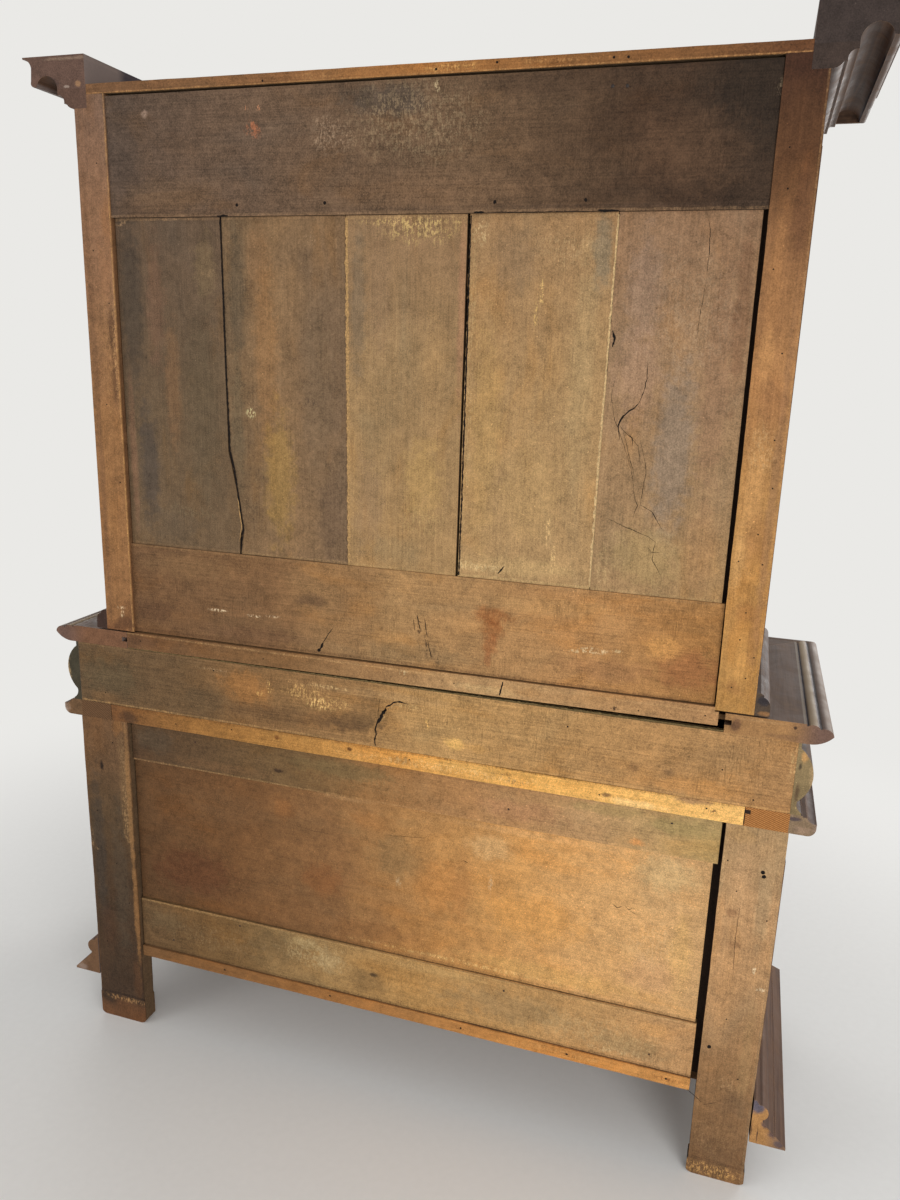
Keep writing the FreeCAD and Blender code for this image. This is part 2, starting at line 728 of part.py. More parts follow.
def shelves():
    """One shelf below and two above, notched around the rear posts."""
    lower, upper = shelf_levels()
    right = right_post_inner - right_post_ledge
    left = left_post_ledge - left_post_inner
    front = lower_depth - shelf_setback
    points = [(right, back_seat_depth), (right, rear_post_depth), (lower_inner, rear_post_depth),
              (lower_inner, front), (-lower_inner, front), (-lower_inner, rear_post_depth),
              (left, rear_post_depth), (left, back_seat_depth)]
    boards = [plan_board(points, lower, lower + shelf_thickness)]
    front = upper_depth - shelf_setback
    points = [(ledge_inner, board_seat_depth), (ledge_inner, stile_depth), (upper_inner, stile_depth),
              (upper_inner, front)]
    points += [(-x, depth) for x, depth in reversed(points)]
    return boards + [plan_board(points, z, z + shelf_thickness) for z in upper]


def shelf_cleats():
    """Strips that carry the shelves, the upper floor and the top board."""
    lower, upper = shelf_levels()
    strips = both_sides(block(lower_inner - cleat_size, lower_inner, rear_post_depth,
                              lower_depth - front_post_depth, lower - cleat_size, lower))
    for z in upper + [z_upper_floor - shelf_thickness]:
        strips += both_sides(block(upper_inner - cleat_size, upper_inner, stile_depth,
                                   upper_depth - stile_depth, z - cleat_size, z))
    front = upper_depth - rail_thickness
    strips += both_sides(block(upper_inner - cleat_size, upper_inner, stile_depth, front,
                               z_top_board - batten_height, z_top_board))
    strips += [block(cleat_size - upper_inner, upper_inner - cleat_size, front - cleat_size, front,
                     z_top_board - batten_height, z_top_board)]
    return strips


# A door: free edge, hinge edge, bottom, height and depth of its front face
lower_door = (lower_centre + door_gap, front_inner - door_gap, z_door_rail + door_gap,
              z_waist - z_door_rail - 2 * door_gap, lower_depth)
upper_door = (upper_centre + door_gap, upper_front_inner - door_gap, z_upper_floor + door_gap,
              z_upper_rail - z_upper_floor - 2 * door_gap, upper_depth)


def door_opening(door):
    """Corner, width and height of the opening inside a door's frame."""
    x0, x1, z0, height, front = door
    width = x1 - x0 - 2 * door_stile_width
    corner = at(x0 + door_stile_width, front - tongue_setback, z0 + door_rail_height)
    return corner, width, height - 2 * door_rail_height


def door_frame(door):
    """Stiles and rails of the right door, grooved for the panel, with its beads."""
    x0, x1, z0, height, front = door
    corner, width, opening_height = door_opening(door)
    back = front - door_thickness
    z1 = z0 + height
    grow = tongue_entry + tongue_clearance
    slot = Part.makeBox(width + 2 * grow, tongue_thickness + 2 * tongue_clearance,
                        opening_height + 2 * grow, corner - Vector(grow, tongue_clearance, grow))
    free = block(x0, x0 + door_stile_width, back, front, z0, z1)
    hinged = block(x1 - door_stile_width, x1, back, front, z0, z1)
    low = block(x0 + door_stile_width, x1 - door_stile_width, back, front, z0, z0 + door_rail_height)
    high = block(x0 + door_stile_width, x1 - door_stile_width, back, front, z1 - door_rail_height, z1)
    bore = rod(spindle_radius + spindle_clearance, knob_seat(door) + Vector(0, door_thickness + overrun, 0),
               Vector(0, -1, 0), door_thickness + 2 * overrun)
    free = free.cut(bore)
    beads = bead_frame(width, opening_height)
    for bead in beads:
        bead.translate(corner)
    return [piece.cut(slot) for piece in (free, hinged, low, high)] + beads


def door_panel(door):
    corner, width, height = door_opening(door)
    panel = fielded_panel(width, height)
    panel.translate(corner)
    return panel


def knob_seat(door):
    """Point on the door's front face where its turn knob sits."""
    x0, x1, z0, height, front = door
    return at(x0 + knob_edge_distance, front, z0 + height / 2)


def turn_knob(door):
    """Turned knob on a spindle that carries a button behind the door."""
    seat = knob_seat(door)
    base = seat - Vector(0, knob_clearance, 0)
    knob = turned(knob_shares, knob_radius, knob_length, base, Vector(0, -1, 0))
    spindle = rod(spindle_radius, base, Vector(0, 1, 0), knob_setback + knob_clearance)
    back = seat.y + knob_setback - button_thickness
    button = Part.makeBox(button_width, button_thickness, button_reach + button_tail,
                          Vector(seat.x - button_width / 2, back, seat.z - button_reach))
    return [knob, spindle.fuse(button)]


def hinge_places(door):
    """Lower end of each hinge axis of a door."""
    x0, x1, z0, height, front = door
    depth = front + barrel_radius + barrel_clearance
    x = x1 + door_gap / 2
    far = height - hinge_end_distance - hinge_height
    return [at(x, depth, z0 + hinge_end_distance), at(x, depth, z0 + far)]


def hinge_leaf(foot, on_post):
    """One leaf of a surface hinge with its knuckles; the post leaf has the two outer ones."""
    up = Vector(0, 0, 1)
    third = hinge_height / 3
    plate_y = foot.y + barrel_radius + barrel_clearance - leaf_thickness
    if on_post:
        plate = Part.makeBox(leaf_width, leaf_thickness, hinge_height, Vector(foot.x, plate_y, foot.z))
        spans = [(0, third - knuckle_gap), (2 * third + knuckle_gap, hinge_height)]
        gaps = [(third - knuckle_gap, 2 * third + knuckle_gap)]
    else:
        plate = Part.makeBox(leaf_width, leaf_thickness, hinge_height,
                             Vector(foot.x - leaf_width, plate_y, foot.z))
        spans = [(third, 2 * third)]
        gaps = [(-overrun, third), (2 * third, hinge_height + overrun)]
    shape = plate
    for low, high in spans:
        shape = shape.fuse(rod(barrel_radius, foot + up * low, up, high - low))
    for low, high in gaps:
        shape = shape.cut(rod(barrel_radius + leaf_clearance, foot + up * low, up, high - low))
    bore = rod(pin_radius + pin_clearance, foot - up * overrun, up, hinge_height + 2 * overrun)
    return shape.cut(bore)


def hinge_pin(foot):
    """Loose pin with a head that rests on the top knuckle."""
    up = Vector(0, 0, 1)
    pin = rod(pin_radius, foot, up, hinge_height)
    return pin.fuse(rod(pin_head_radius, foot + up * hinge_height, up, pin_head_height))


def case_hinges():
    pieces = []
    for door in (lower_door, upper_door):
        for foot in hinge_places(door):
            pieces += both_sides(hinge_leaf(foot, True)) + both_sides(hinge_pin(foot))
    return pieces


def door_hinges(door):
    return [hinge_leaf(foot, False) for foot in hinge_places(door)]


def export(name, shapes):
    """Write one node; several shapes stay separate solids."""
    solids = [solid for shape in shapes for solid in shape.Solids]
    shape = solids[0] if len(solids) < 2 else Part.makeCompound(solids)
    shape.exportStep(os.path.join("parts", name + ".step"))


def export_pair(name, door, shapes):
    """Write a door's or drawer's node on the right and its mirror image on the left."""
    export(name.format(door, "right"), shapes)
    export(name.format(door, "left"), [mirrored(shape) for shape in shapes])


def main():
    os.makedirs("parts", exist_ok=True)
    export("lower_rear_post_right", [lower_rear_post(1).cut(side_panel_slot(lower_side))])
    export("lower_rear_post_left", [lower_rear_post(-1).cut(mirrored(side_panel_slot(lower_side)))])
    bottom, panel, top = lower_back()
    export("lower_back_bottom_rail", [bottom])
    export("lower_back_panel", [panel])
    export("lower_back_top_rail", [top])
    export("lower_bottom_board", [bottom_board()])
    export("lower_front_frame", lower_front_frame())
    export("front_feet", front_feet())
    export("side_rails", side_rails(lower_side, z_base, z_waist) + side_rails(upper_side, z_upper, z_bed))
    export("side_panels", side_panel_set(lower_side) + side_panel_set(upper_side))
    export("base_moulding", moulding_runs(base_shares, lower_half, lower_depth, z_base, base_reach,
                                          base_height, 0))
    export("waist_rails", waist_rails())
    export("waist_back_strip", [waist_back_strip()])
    export("waist_moulding", moulding_runs(waist_shares, waist_half, waist_front, z_waist, waist_reach,
                                           waist_thickness, 0))
    export("frieze_boards", frieze_boards())
    export("frieze_back_board", [frieze_back_board()])
    export("drawer_runners", drawer_runners())
    right, left, front = table_frame()
    export("table_end_right", [right])
    export("table_end_left", [left])
    export("table_front_board", [front])
    export("table_field_board", [table_field_board()])
    export("upper_rear_stile_right", [upper_rear_stile()])
    export("upper_rear_stile_left", [mirrored(upper_rear_stile())])
    for number in range(len(board_steps)):
        export("back_board_" + str(number + 1), [upright_board(number)])
    export("back_top_board", [wide_top_board()])
    export("back_bottom_board", [wide_bottom_board()])
    export("upper_front_frame", upper_front_frame())
    export("upper_floor_board", [upper_floor_board()])
    export("upper_top_board", [upper_top_board()])
    export("upper_base_moulding", moulding_runs(upper_base_shares, upper_half, upper_depth,
                                                z_upper + settle_gap, upper_base_reach, upper_base_height, 0))
    export("bed_moulding", moulding_runs(bed_shares, upper_half, upper_depth, z_bed, bed_reach,
                                         bed_height, rail_thickness))
    export("crown_moulding", moulding_runs(crown_shares, upper_half, upper_depth, z_crown, crown_reach,
                                           crown_height, rail_thickness))
    export("shelves_and_cleats", shelves() + shelf_cleats())
    export("case_hinges", case_hinges())
    for name, door in (("lower", lower_door), ("upper", upper_door)):
        export_pair("{}_door_{}_frame", name, door_frame(door))
        export_pair("{}_door_{}_panel", name, [door_panel(door)])
        export_pair("{}_door_{}_hinges", name, door_hinges(door))
        export_pair("{}_door_{}_knob", name, turn_knob(door))
    export_pair("{}_{}_front", "drawer", [drawer_front()])
    export_pair("{}_{}_box", "drawer", drawer_box())
    export_pair("{}_{}_knobs", "drawer", drawer_knobs())


main()
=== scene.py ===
import math

import bmesh
import bpy
from mathutils import Matrix, Vector, noise
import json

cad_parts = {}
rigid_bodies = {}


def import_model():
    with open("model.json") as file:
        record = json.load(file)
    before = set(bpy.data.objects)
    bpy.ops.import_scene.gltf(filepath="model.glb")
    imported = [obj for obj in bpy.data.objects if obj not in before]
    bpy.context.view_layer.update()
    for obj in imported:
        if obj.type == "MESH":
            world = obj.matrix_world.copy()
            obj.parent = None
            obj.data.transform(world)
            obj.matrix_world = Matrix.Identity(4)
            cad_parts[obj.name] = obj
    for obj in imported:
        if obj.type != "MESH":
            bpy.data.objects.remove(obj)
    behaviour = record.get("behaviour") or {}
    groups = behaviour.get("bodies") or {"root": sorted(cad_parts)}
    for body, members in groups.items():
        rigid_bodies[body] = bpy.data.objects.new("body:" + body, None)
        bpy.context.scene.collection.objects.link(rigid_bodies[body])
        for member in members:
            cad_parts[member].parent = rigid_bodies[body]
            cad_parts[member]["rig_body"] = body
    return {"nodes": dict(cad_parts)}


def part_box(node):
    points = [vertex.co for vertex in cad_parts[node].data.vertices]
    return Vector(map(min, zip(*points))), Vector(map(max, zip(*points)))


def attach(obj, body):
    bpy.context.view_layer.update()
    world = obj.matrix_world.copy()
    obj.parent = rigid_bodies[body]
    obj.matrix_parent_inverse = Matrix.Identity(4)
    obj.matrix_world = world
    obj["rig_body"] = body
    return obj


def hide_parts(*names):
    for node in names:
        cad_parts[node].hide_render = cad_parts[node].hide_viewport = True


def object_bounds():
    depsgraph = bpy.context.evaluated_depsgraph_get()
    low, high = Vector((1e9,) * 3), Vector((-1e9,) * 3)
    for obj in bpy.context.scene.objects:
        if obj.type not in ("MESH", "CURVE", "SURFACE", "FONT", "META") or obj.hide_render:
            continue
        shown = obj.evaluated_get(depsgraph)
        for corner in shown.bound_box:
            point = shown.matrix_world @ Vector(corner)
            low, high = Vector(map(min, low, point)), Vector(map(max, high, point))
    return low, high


# Looks of a two-part sideboard, seen mostly from its plank back.
# Right is +X, up is +Z and the back plane is the +Y end of the box.
# The photograph is taken from behind, so its left side is +X.
# Places on the back are written in millimetres and used in metres.

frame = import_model()
nodes = frame["nodes"]
cad_low, cad_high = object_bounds()
back = cad_high[1]
MM = 0.001

# Camera, worked out from the photograph's straight edges: 900 by 1200 pixels
focal_share = 941.43 / 1200
camera_place = (-0.628, back + 1.676, 1.624)
camera_tilt = 0.256187652
camera_swing = 0.301656623
camera_roll = 0.0315171474

# Old boards lie this far inside the CAD faces, and cracks this far over the boards
inset = 0.3 * MM
skin = 0.12 * MM

# Worn edges: step of the cuts along a board, the turn in degrees that makes an edge sharp,
# how quickly an edge wavers, and the cuts of a worn foot as shares of its height
board_step = 18.0 * MM
sharp_turn = 50
slow_waver = 4.0
quick_waver = 45.0
foot_cuts = (0.06, 0.14, 0.92, 1.0, 1.08)

# Step along a crack, and a nail head's corners and rings, as shares of its radius and height
crack_step = 3.0 * MM
dome_sides = 10
dome_rings = ((1.0, 0.0), (0.82, 0.62), (0.45, 0.92))

# Width of the round lamps and half the width of the floor, in metres
lamp_size = 2.4
floor_reach = 14

# Tones that return, as the screen shows them
# gap_shade_tone is painted shade: the dark tone of board side faces inside the gaps, and of a notch on a
# rail end.
gap_shade_tone = (44, 31, 22)
side_tone = (108, 86, 72)
backdrop_tone = (234, 233, 230)

doors = [case + "_door_" + side for case in ("lower", "upper") for side in ("left", "right")]


def set_camera():
    data = bpy.data.cameras.new("camera")
    data.sensor_width = 36
    data.lens = focal_share * data.sensor_width
    camera = bpy.data.objects.new("camera", data)
    bpy.context.scene.collection.objects.link(camera)
    turn = (Matrix.Rotation(camera_roll, 3, "Z") @ Matrix.Rotation(camera_tilt, 3, "X")
            @ Matrix.Rotation(camera_swing, 3, "Y"))
    right, down, ahead = (-Vector((row[0], row[2], row[1])) for row in turn)
    axes = Matrix((right, -down, -ahead)).transposed()
    camera.matrix_world = Matrix.Translation(camera_place) @ axes.to_4x4()
    bpy.context.scene.camera = camera


def colour(red, green, blue):
    """A colour as the screen shows it, 0 to 255, turned into the shader's linear numbers."""
    return tuple(((v / 255 + 0.055) / 1.055) ** 2.4 for v in (red, green, blue)) + (1.0,)


class Graph:
    """Short calls that build the nodes of one material or world."""

    def __init__(self, owner):
        owner.use_nodes = True
        self.owner = owner
        self.tree = owner.node_tree
        self.shader = self.tree.nodes.get("Principled BSDF")
        coords = self.add("ShaderNodeTexCoord").outputs
        self.place = coords["Object"]
        self.facing = coords["Normal"]
        # Where level is 1 the grain lies another way, and swap is the new order of the axes
        self.level = None
        self.swap = (2, 1, 0)

    def add(self, kind, *values, **settings):
        """A node with its settings; the values go to its first inputs."""
        node = self.tree.nodes.new(kind)
        for key, value in settings.items():
            setattr(node, key, value)
        for value, socket in zip(values, node.inputs):
            self.join(value, socket)
        return node

    def fill(self, node, **values):
        """Values for a node's inputs by their names."""
        for name, value in values.items():
            self.join(value, node.inputs[name.replace("_", " ")])

    def join(self, value, socket):
        if isinstance(value, bpy.types.NodeSocket):
            self.tree.links.new(value, socket)
        else:
            socket.default_value = value

    def math(self, operation, a, b=0.0):
        return self.add("ShaderNodeMath", a, b, operation=operation).outputs[0]

    def times(self, a, b):
        return self.math("MULTIPLY", a, b)

    def vector(self, operation, a, b=(0.0, 0.0, 0.0)):
        return self.add("ShaderNodeVectorMath", a, b, operation=operation).outputs

    def part(self, vector, axis):
        return self.add("ShaderNodeSeparateXYZ", vector).outputs[axis]

    def ramp(self, value, low, high, to_low=0.0, to_high=1.0):
        """Smooth step of a value between two limits."""
        limits = (low, high, to_low, to_high)
        return self.add("ShaderNodeMapRange", value, *limits, interpolation_type="SMOOTHSTEP").outputs[0]

    def mix(self, factor, under, over, blend="MIX"):
        node = self.add("ShaderNodeMix", factor, data_type="RGBA", blend_type=blend)
        self.join(under, node.inputs[6])
        self.join(over, node.inputs[7])
        return node.outputs[2]

    def multiply(self, under, over, factor=1.0):
        return self.mix(factor, under, over, "MULTIPLY")

    def tones(self, value, stops):
        """A colour that follows a place: each stop is its millimetres and its tone."""
        first, last = stops[0][0], stops[-1][0]
        share = self.add("ShaderNodeMapRange", value, first * MM, last * MM)
        ramp = self.add("ShaderNodeValToRGB", share.outputs[0])
        points = ramp.color_ramp.elements
        points[0].color = colour(*stops[0][1:])
        points[1].color = colour(*stops[-1][1:])
        for place, *tone in stops[1:-1]:
            points.new((place - first) / (last - first)).color = colour(*tone)
        return ramp.outputs[0]

    def scaled(self, scale, seed):
        """Place in cells of their own size along each axis; a mask swaps two of the axes."""
        if not isinstance(scale, tuple):
            scale = (scale, scale, scale)
        place = self.vector("ADD", self.place, (seed * 1.7, seed * 0.9, seed * 2.3))[0]
        if self.level is None:
            return self.vector("MULTIPLY", place, scale)[0]
        pick = self.add("ShaderNodeMix", self.level, data_type="VECTOR")
        self.join(scale, pick.inputs[4])
        self.join(tuple(scale[axis] for axis in self.swap), pick.inputs[5])
        return self.vector("MULTIPLY", place, pick.outputs[1])[0]

    def noise(self, scale, detail, rough, twist=0.0, seed=0.0):
        node = self.add("ShaderNodeTexNoise", self.scaled(scale, seed))
        self.fill(node, Scale=1.0, Detail=detail, Roughness=rough, Distortion=twist)
        return node.outputs["Fac"]

    def varied(self, light, value, weight):
        """Adds a share of a noise, taken about its middle, to a factor."""
        return self.math("ADD", light, self.times(self.math("SUBTRACT", value, 0.5), weight))

    def between(self, axis, low, high, soft=0.4 * MM):
        value = self.part(self.place, axis)
        rises = self.ramp(value, low - soft, low + soft)
        return self.times(rises, self.ramp(value, high - soft, high + soft, 1.0, 0.0))

    def box(self, x0, x1, z0, z1):
        return self.times(self.between("X", x0, x1), self.between("Z", z0, z1))

    def blot(self, x, z, width, height, wobble):
        """Mask of an oval spot with a ragged rim, on a face that looks along Y."""
        place = self.vector("SUBTRACT", self.place, (x * MM, 0.0, z * MM))[0]
        place = self.vector("MULTIPLY", place, (1 / (width * MM), 0.0, 1 / (height * MM)))[0]
        reach = self.math("ADD", self.vector("LENGTH", place)["Value"], wobble)
        return self.ramp(reach, 1.35, 0.45)

    def band(self, axis, place, reach, wobble):
        """Mask of a straight line with ragged edges, square to an axis."""
        reach = reach * MM
        away = self.math("ABSOLUTE", self.math("SUBTRACT", self.part(self.place, axis), place * MM))
        away = self.math("ADD", away, self.times(wobble, reach))
        return self.ramp(away, 1.2 * reach, 0.6 * reach)

    def outward(self):
        """Mask of the faces that look away from the middle plane to either side."""
        side = self.math("SIGN", self.part(self.place, "X"))
        return self.ramp(self.times(side, self.part(self.facing, "X")), 0.80, 0.95)

    def seen(self):
        """A factor of 1 for rays that show the backdrop and 0 for rays that light the object."""
        rays = self.add("ShaderNodeLightPath").outputs
        either = self.math("MAXIMUM", rays["Is Camera Ray"], rays["Is Glossy Ray"])
        return self.math("MAXIMUM", either, rays["Is Transmission Ray"])

    def finish(self, base, rough, bumps, metal=0.0, gleam=0.2):
        self.fill(self.shader, Base_Color=base, Roughness=rough, Metallic=metal, Specular_IOR_Level=gleam)
        target = self.shader
        for height, distance in reversed(bumps):
            bump = self.add("ShaderNodeBump")
            self.fill(bump, Distance=distance, Height=height)
            self.join(bump.outputs[0], target.inputs["Normal"])
            target = bump
        return self.owner


def painted(name):
    return Graph(bpy.data.materials.new(name))


def along(axis, fine, coarse):
    """Cells that are long along an axis: many across it and few along it."""
    return tuple(coarse if name == axis else fine for name in "XYZ")


def patina(g, grain, seed, strokes, fibre, depth=1.0):
    """How light each point is beside its tone, and the heights that make the bumps."""
    across = "X" if grain == "Z" else "Z"
    mottle = g.noise(24.0, 5.0, 0.70, 0.5, seed)
    cloud = g.noise(90.0, 4.0, 0.70, 0.3, seed)
    fibres = g.noise(along(grain, 330.0, 9.0), 4.0, 0.66, 0.3, seed)
    fine_mottle = g.noise(430.0, 2.0, 0.70, 0.0, seed)
    light = 1.0
    for value, weight in ((mottle, 1.00), (cloud, 0.80), (fibres, 0.70 * fibre), (fine_mottle, 1.40)):
        light = g.varied(light, value, weight * depth)
    zone = g.ramp(g.noise(7.0, 3.0, 0.6, 0.0, seed + 3.0), 0.44, 0.60)
    saw = g.ramp(g.noise(along(across, 520.0, 14.0), 3.0, 0.75, 0.2, seed), 0.56, 0.66)
    sawn = g.times(saw, zone)
    specks = g.ramp(g.noise(270.0, 1.0, 0.5, 0.0, seed + 1.0), 0.73, 0.80)
    pits = g.ramp(g.noise(200.0, 2.0, 0.6, 0.0, seed + 2.0), 0.27, 0.21)
    light = g.math("ADD", light, g.times(sawn, 0.34 * strokes))
    light = g.math("ADD", light, g.times(specks, 0.75))
    light = g.math("SUBTRACT", light, g.times(pits, 0.45))
    bumps = [(fibres, 0.5 * MM), (mottle, 1.0 * MM), (sawn, 0.4 * strokes * MM)]
    return g.math("MAXIMUM", light, 0.25), bumps


def stained(g, base, seed, blots, flecks=(), rims=()):
    """Soft stains, broken flecks and worn lines over a base colour."""
    ragged = g.noise(42.0, 5.0, 0.70, 0.0, seed + 4.0)
    wobble = g.times(g.math("SUBTRACT", ragged, 0.5), 2.2)
    smears = g.noise((330.0, 330.0, 80.0), 3.0, 0.75, 0.2, seed + 5.0)
    grit = g.noise(150.0, 4.0, 0.75, 0.0, seed + 5.0)
    broken = g.ramp(g.math("ADD", smears, grit), 1.00, 1.08)
    patchy = g.math("ADD", 0.35, g.times(broken, 0.65))
    marks = [(g.blot, 1.0, row) for row in blots]
    marks += [(g.blot, broken, row) for row in flecks]
    marks += [(g.band, patchy, row) for row in rims]
    for shape, share, (*where, red, green, blue, weight) in marks:
        mask = g.times(shape(*where, wobble), share)
        base = g.mix(g.times(mask, weight), base, colour(red, green, blue))
    return base


def aged_wood(node, grain, tones, seed, flow=None, strokes=0.0, fibre=1.0, depth=1.0, blots=(), flecks=(),
              rims=(), side=False, wall=gap_shade_tone):
    """Timber that never had a finish, darkened by age: tones along it, partly painted light, then patina
    and stains.
    """
    g = painted("aged_" + node)
    low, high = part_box(node)
    drift = g.noise(5.0, 3.0, 0.6, 0.5, seed + 6.0)
    base = g.tones(g.varied(g.part(g.place, flow or grain), drift, 0.30), tones)
    hue = g.noise(along(grain, 10.0, 4.0), 4.0, 0.62, 0.6, seed + 7.0)
    base = g.multiply(base, (1.07, 0.98, 0.84, 1.0), g.ramp(hue, 0.50, 0.72))
    base = g.multiply(base, (0.92, 0.97, 1.03, 1.0), g.ramp(hue, 0.48, 0.26))
    base = stained(g, base, seed, blots, flecks, rims)
    light, bumps = patina(g, grain, seed, strokes, fibre, depth)
    base = g.multiply(base, light)
    # Side faces inside the gaps take the wall tone times the patina: painted shade in the gaps.
    walls = g.between("Y", low.y + 2 * MM, high.y - inset - 3 * MM, 1 * MM)
    if side:
        outward = g.outward()
        base = g.mix(outward, base, colour(*side_tone))
        walls = g.times(walls, g.math("SUBTRACT", 1.0, outward))
    base = g.mix(walls, base, g.multiply(light, colour(*wall)))
    return g.finish(base, 0.86, bumps)


def plain_oak(name, tones, grain, seed):
    """The plain inside: shelves, runners and drawer boxes."""
    g = painted(name)
    dark, light = (colour(*tone) for tone in tones)
    cloud = g.noise(along(grain, 12.0, 3.0), 4.0, 0.6, 0.5, seed)
    base = g.mix(g.ramp(cloud, 0.35, 0.65), dark, light)
    shade, bumps = patina(g, grain, seed, 0.4, 1.0)
    return g.finish(g.multiply(base, shade), 0.8, bumps)


def side_runs(g, node):
    """Mask of the two side runs of a moulding that is mitred at the front corners."""
    low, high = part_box(node)
    from_side = g.math("SUBTRACT", high.x, g.math("ABSOLUTE", g.part(g.place, "X")))
    from_front = g.math("SUBTRACT", g.part(g.place, "Y"), low.y)
    return g.ramp(g.math("SUBTRACT", from_front, from_side), -0.5 * MM, 0.5 * MM)


def rubbed_edges_and_corner_shade(g, base, pale, wear):
    """Finish worn off the arrises, and painted shade in the corners of the mouldings, found by ambient
    occlusion.
    """
    bevel = g.add("ShaderNodeBevel", 1.6 * MM, samples=4).outputs[0]
    straight = g.add("ShaderNodeNewGeometry").outputs["Normal"]
    turn = g.vector("DOT_PRODUCT", bevel, straight)["Value"]
    shelter = g.add("ShaderNodeAmbientOcclusion", samples=4, only_local=True)
    g.fill(shelter, Distance=7 * MM)
    corner = g.ramp(shelter.outputs["AO"], 0.85, 0.45)
    edge = g.times(g.ramp(turn, 0.99, 0.86), g.math("SUBTRACT", 1.0, corner))
    edge = g.times(edge, g.ramp(wear, 0.30, 0.60, 0.15, 0.75))
    base = g.mix(edge, base, pale)
    # The corners that ambient occlusion finds are darkened here: painted shade.
    return g.multiply(base, (0.30, 0.28, 0.30, 1.0), g.times(corner, 0.7))


def polished_wood(name, tones, grain, seed, ends=None, level=(), rough=0.55, node=None, lines=()):
    """Finished walnut. Ends: bare sawn faces; level: rails laid across; lines: bands of painted sheen and
    painted shade.
    """
    g = painted(name)
    for box in level:
        mask = g.box(*box)
        g.level = mask if g.level is None else g.math("MAXIMUM", g.level, mask)
    if node:
        g.level = side_runs(g, node)
        g.swap = (1, 0, 2)
    dark, middle, pale = (colour(*tone) for tone in tones)
    rings = g.noise(along(grain, 60.0, 2.6), 5.0, 0.6, 0.8, seed)
    pores = g.noise(along(grain, 520.0, 16.0), 2.0, 0.6, 0.0, seed)
    g.level = None
    wear = g.noise(18.0, 5.0, 0.68, 0.4, seed)
    base = g.mix(g.ramp(rings, 0.30, 0.70), dark, middle)
    base = g.mix(g.ramp(wear, 0.52, 0.80, 0.0, 0.55), base, pale)
    base = g.multiply(base, g.varied(1.0, pores, 0.5))
    for axis, place, reach, *tone, weight in lines:
        base = g.mix(g.times(g.band(axis, place, reach, 0.0), weight), base, colour(*tone))
    base = rubbed_edges_and_corner_shade(g, base, colour(*(min(255, v * 1.45) for v in tones[2])), wear)
    roughness = g.ramp(wear, 0.30, 0.75, rough, rough + 0.2)
    if ends:
        base, roughness = bare_ends(g, base, roughness, ends, seed)
    return g.finish(base, roughness, [(pores, 0.2 * MM), (wear, 0.9 * MM)], gleam=0.22)


def bare_ends(g, base, roughness, ends, seed):
    """Bare wood where a moulding is sawn off at the back, and on faces that look inward."""
    left_tone, right_tone, rim, marks = ends
    looks_back = g.ramp(g.part(g.facing, "Y"), 0.90, 0.98)
    at_back = g.ramp(g.part(g.place, "Y"), back - 0.5 * MM, back - 0.2 * MM)
    side = g.math("SIGN", g.part(g.place, "X"))
    inner = g.ramp(g.times(side, g.part(g.facing, "X")), -0.80, -0.95)
    bare = g.math("MAXIMUM", g.times(looks_back, at_back), inner)
    fleck = g.noise(34.0, 5.0, 0.72, 0.3, seed)
    grit = g.noise(420.0, 2.0, 0.6, 0.0, seed)
    light = g.varied(g.varied(1.0, fleck, 1.3), grit, 1.2)
    specks = g.ramp(g.noise(240.0, 1.0, 0.5, 0.0, seed + 1.0), 0.70, 0.78)
    light = g.math("ADD", light, g.times(specks, 0.7))
    # Sawn ends at +X and -X take tones of their own, lighter at -X for most runs: partly the wood's tone
    # and partly painted light.
    face = g.mix(g.ramp(g.part(g.place, "X"), -0.1, 0.1), colour(*right_tone), colour(*left_tone))
    if rim:
        near, far, *tone = rim
        away = g.varied(g.math("ABSOLUTE", g.part(g.place, "X")), fleck, 0.030)
        face = g.mix(g.ramp(away, near * MM, far * MM), face, colour(*tone))
    face = g.multiply(stained(g, face, seed, marks), light)
    # Faces that look inward are painted lit grey near the back and dark further in: painted light and
    # shade.
    shaded_deeper_in = g.ramp(g.part(g.place, "Y"), back - 130 * MM, back - 100 * MM)
    face = g.mix(g.times(inner, 0.85), face, g.mix(shaded_deeper_in, colour(60, 56, 64), colour(126, 112, 106)))
    return g.mix(bare, base, face), g.math("MAXIMUM", roughness, g.times(bare, 0.85))


def end_grain_wood(name):
    """Side rails under the frieze, whose sawn ends show growth rings at the back."""
    g = painted(name)
    slanted = g.vector("DOT_PRODUCT", g.place, (0.62, 0.0, 0.78))["Value"]
    wave = g.math("SINE", g.times(slanted, 1900.0))
    rings = g.math("ADD", g.times(wave, 0.30), g.noise(260.0, 3.0, 0.7))
    share = g.ramp(rings, 0.25, 0.80)
    # Rail ends at -X take the lit copy of the end grain and those at +X the shaded copy: painted light and
    # shade.
    lit_rail_ends = g.mix(share, colour(132, 84, 42), colour(186, 128, 72))
    shaded_rail_ends = g.mix(share, colour(84, 60, 40), colour(116, 84, 56))
    base = g.mix(g.ramp(g.part(g.place, "X"), -0.1, 0.1), lit_rail_ends, shaded_rail_ends)
    # A dark L on the -X rail end, in the gap shade tone: painted shade where the notch is.
    for notch in ((-698, -686, 821, 829), (-689, -686, 800, 821)):
        base = g.mix(g.box(*(edge * MM for edge in notch)), base, colour(*gap_shade_tone))
    return g.finish(base, 0.85, [(rings, 0.3 * MM)])


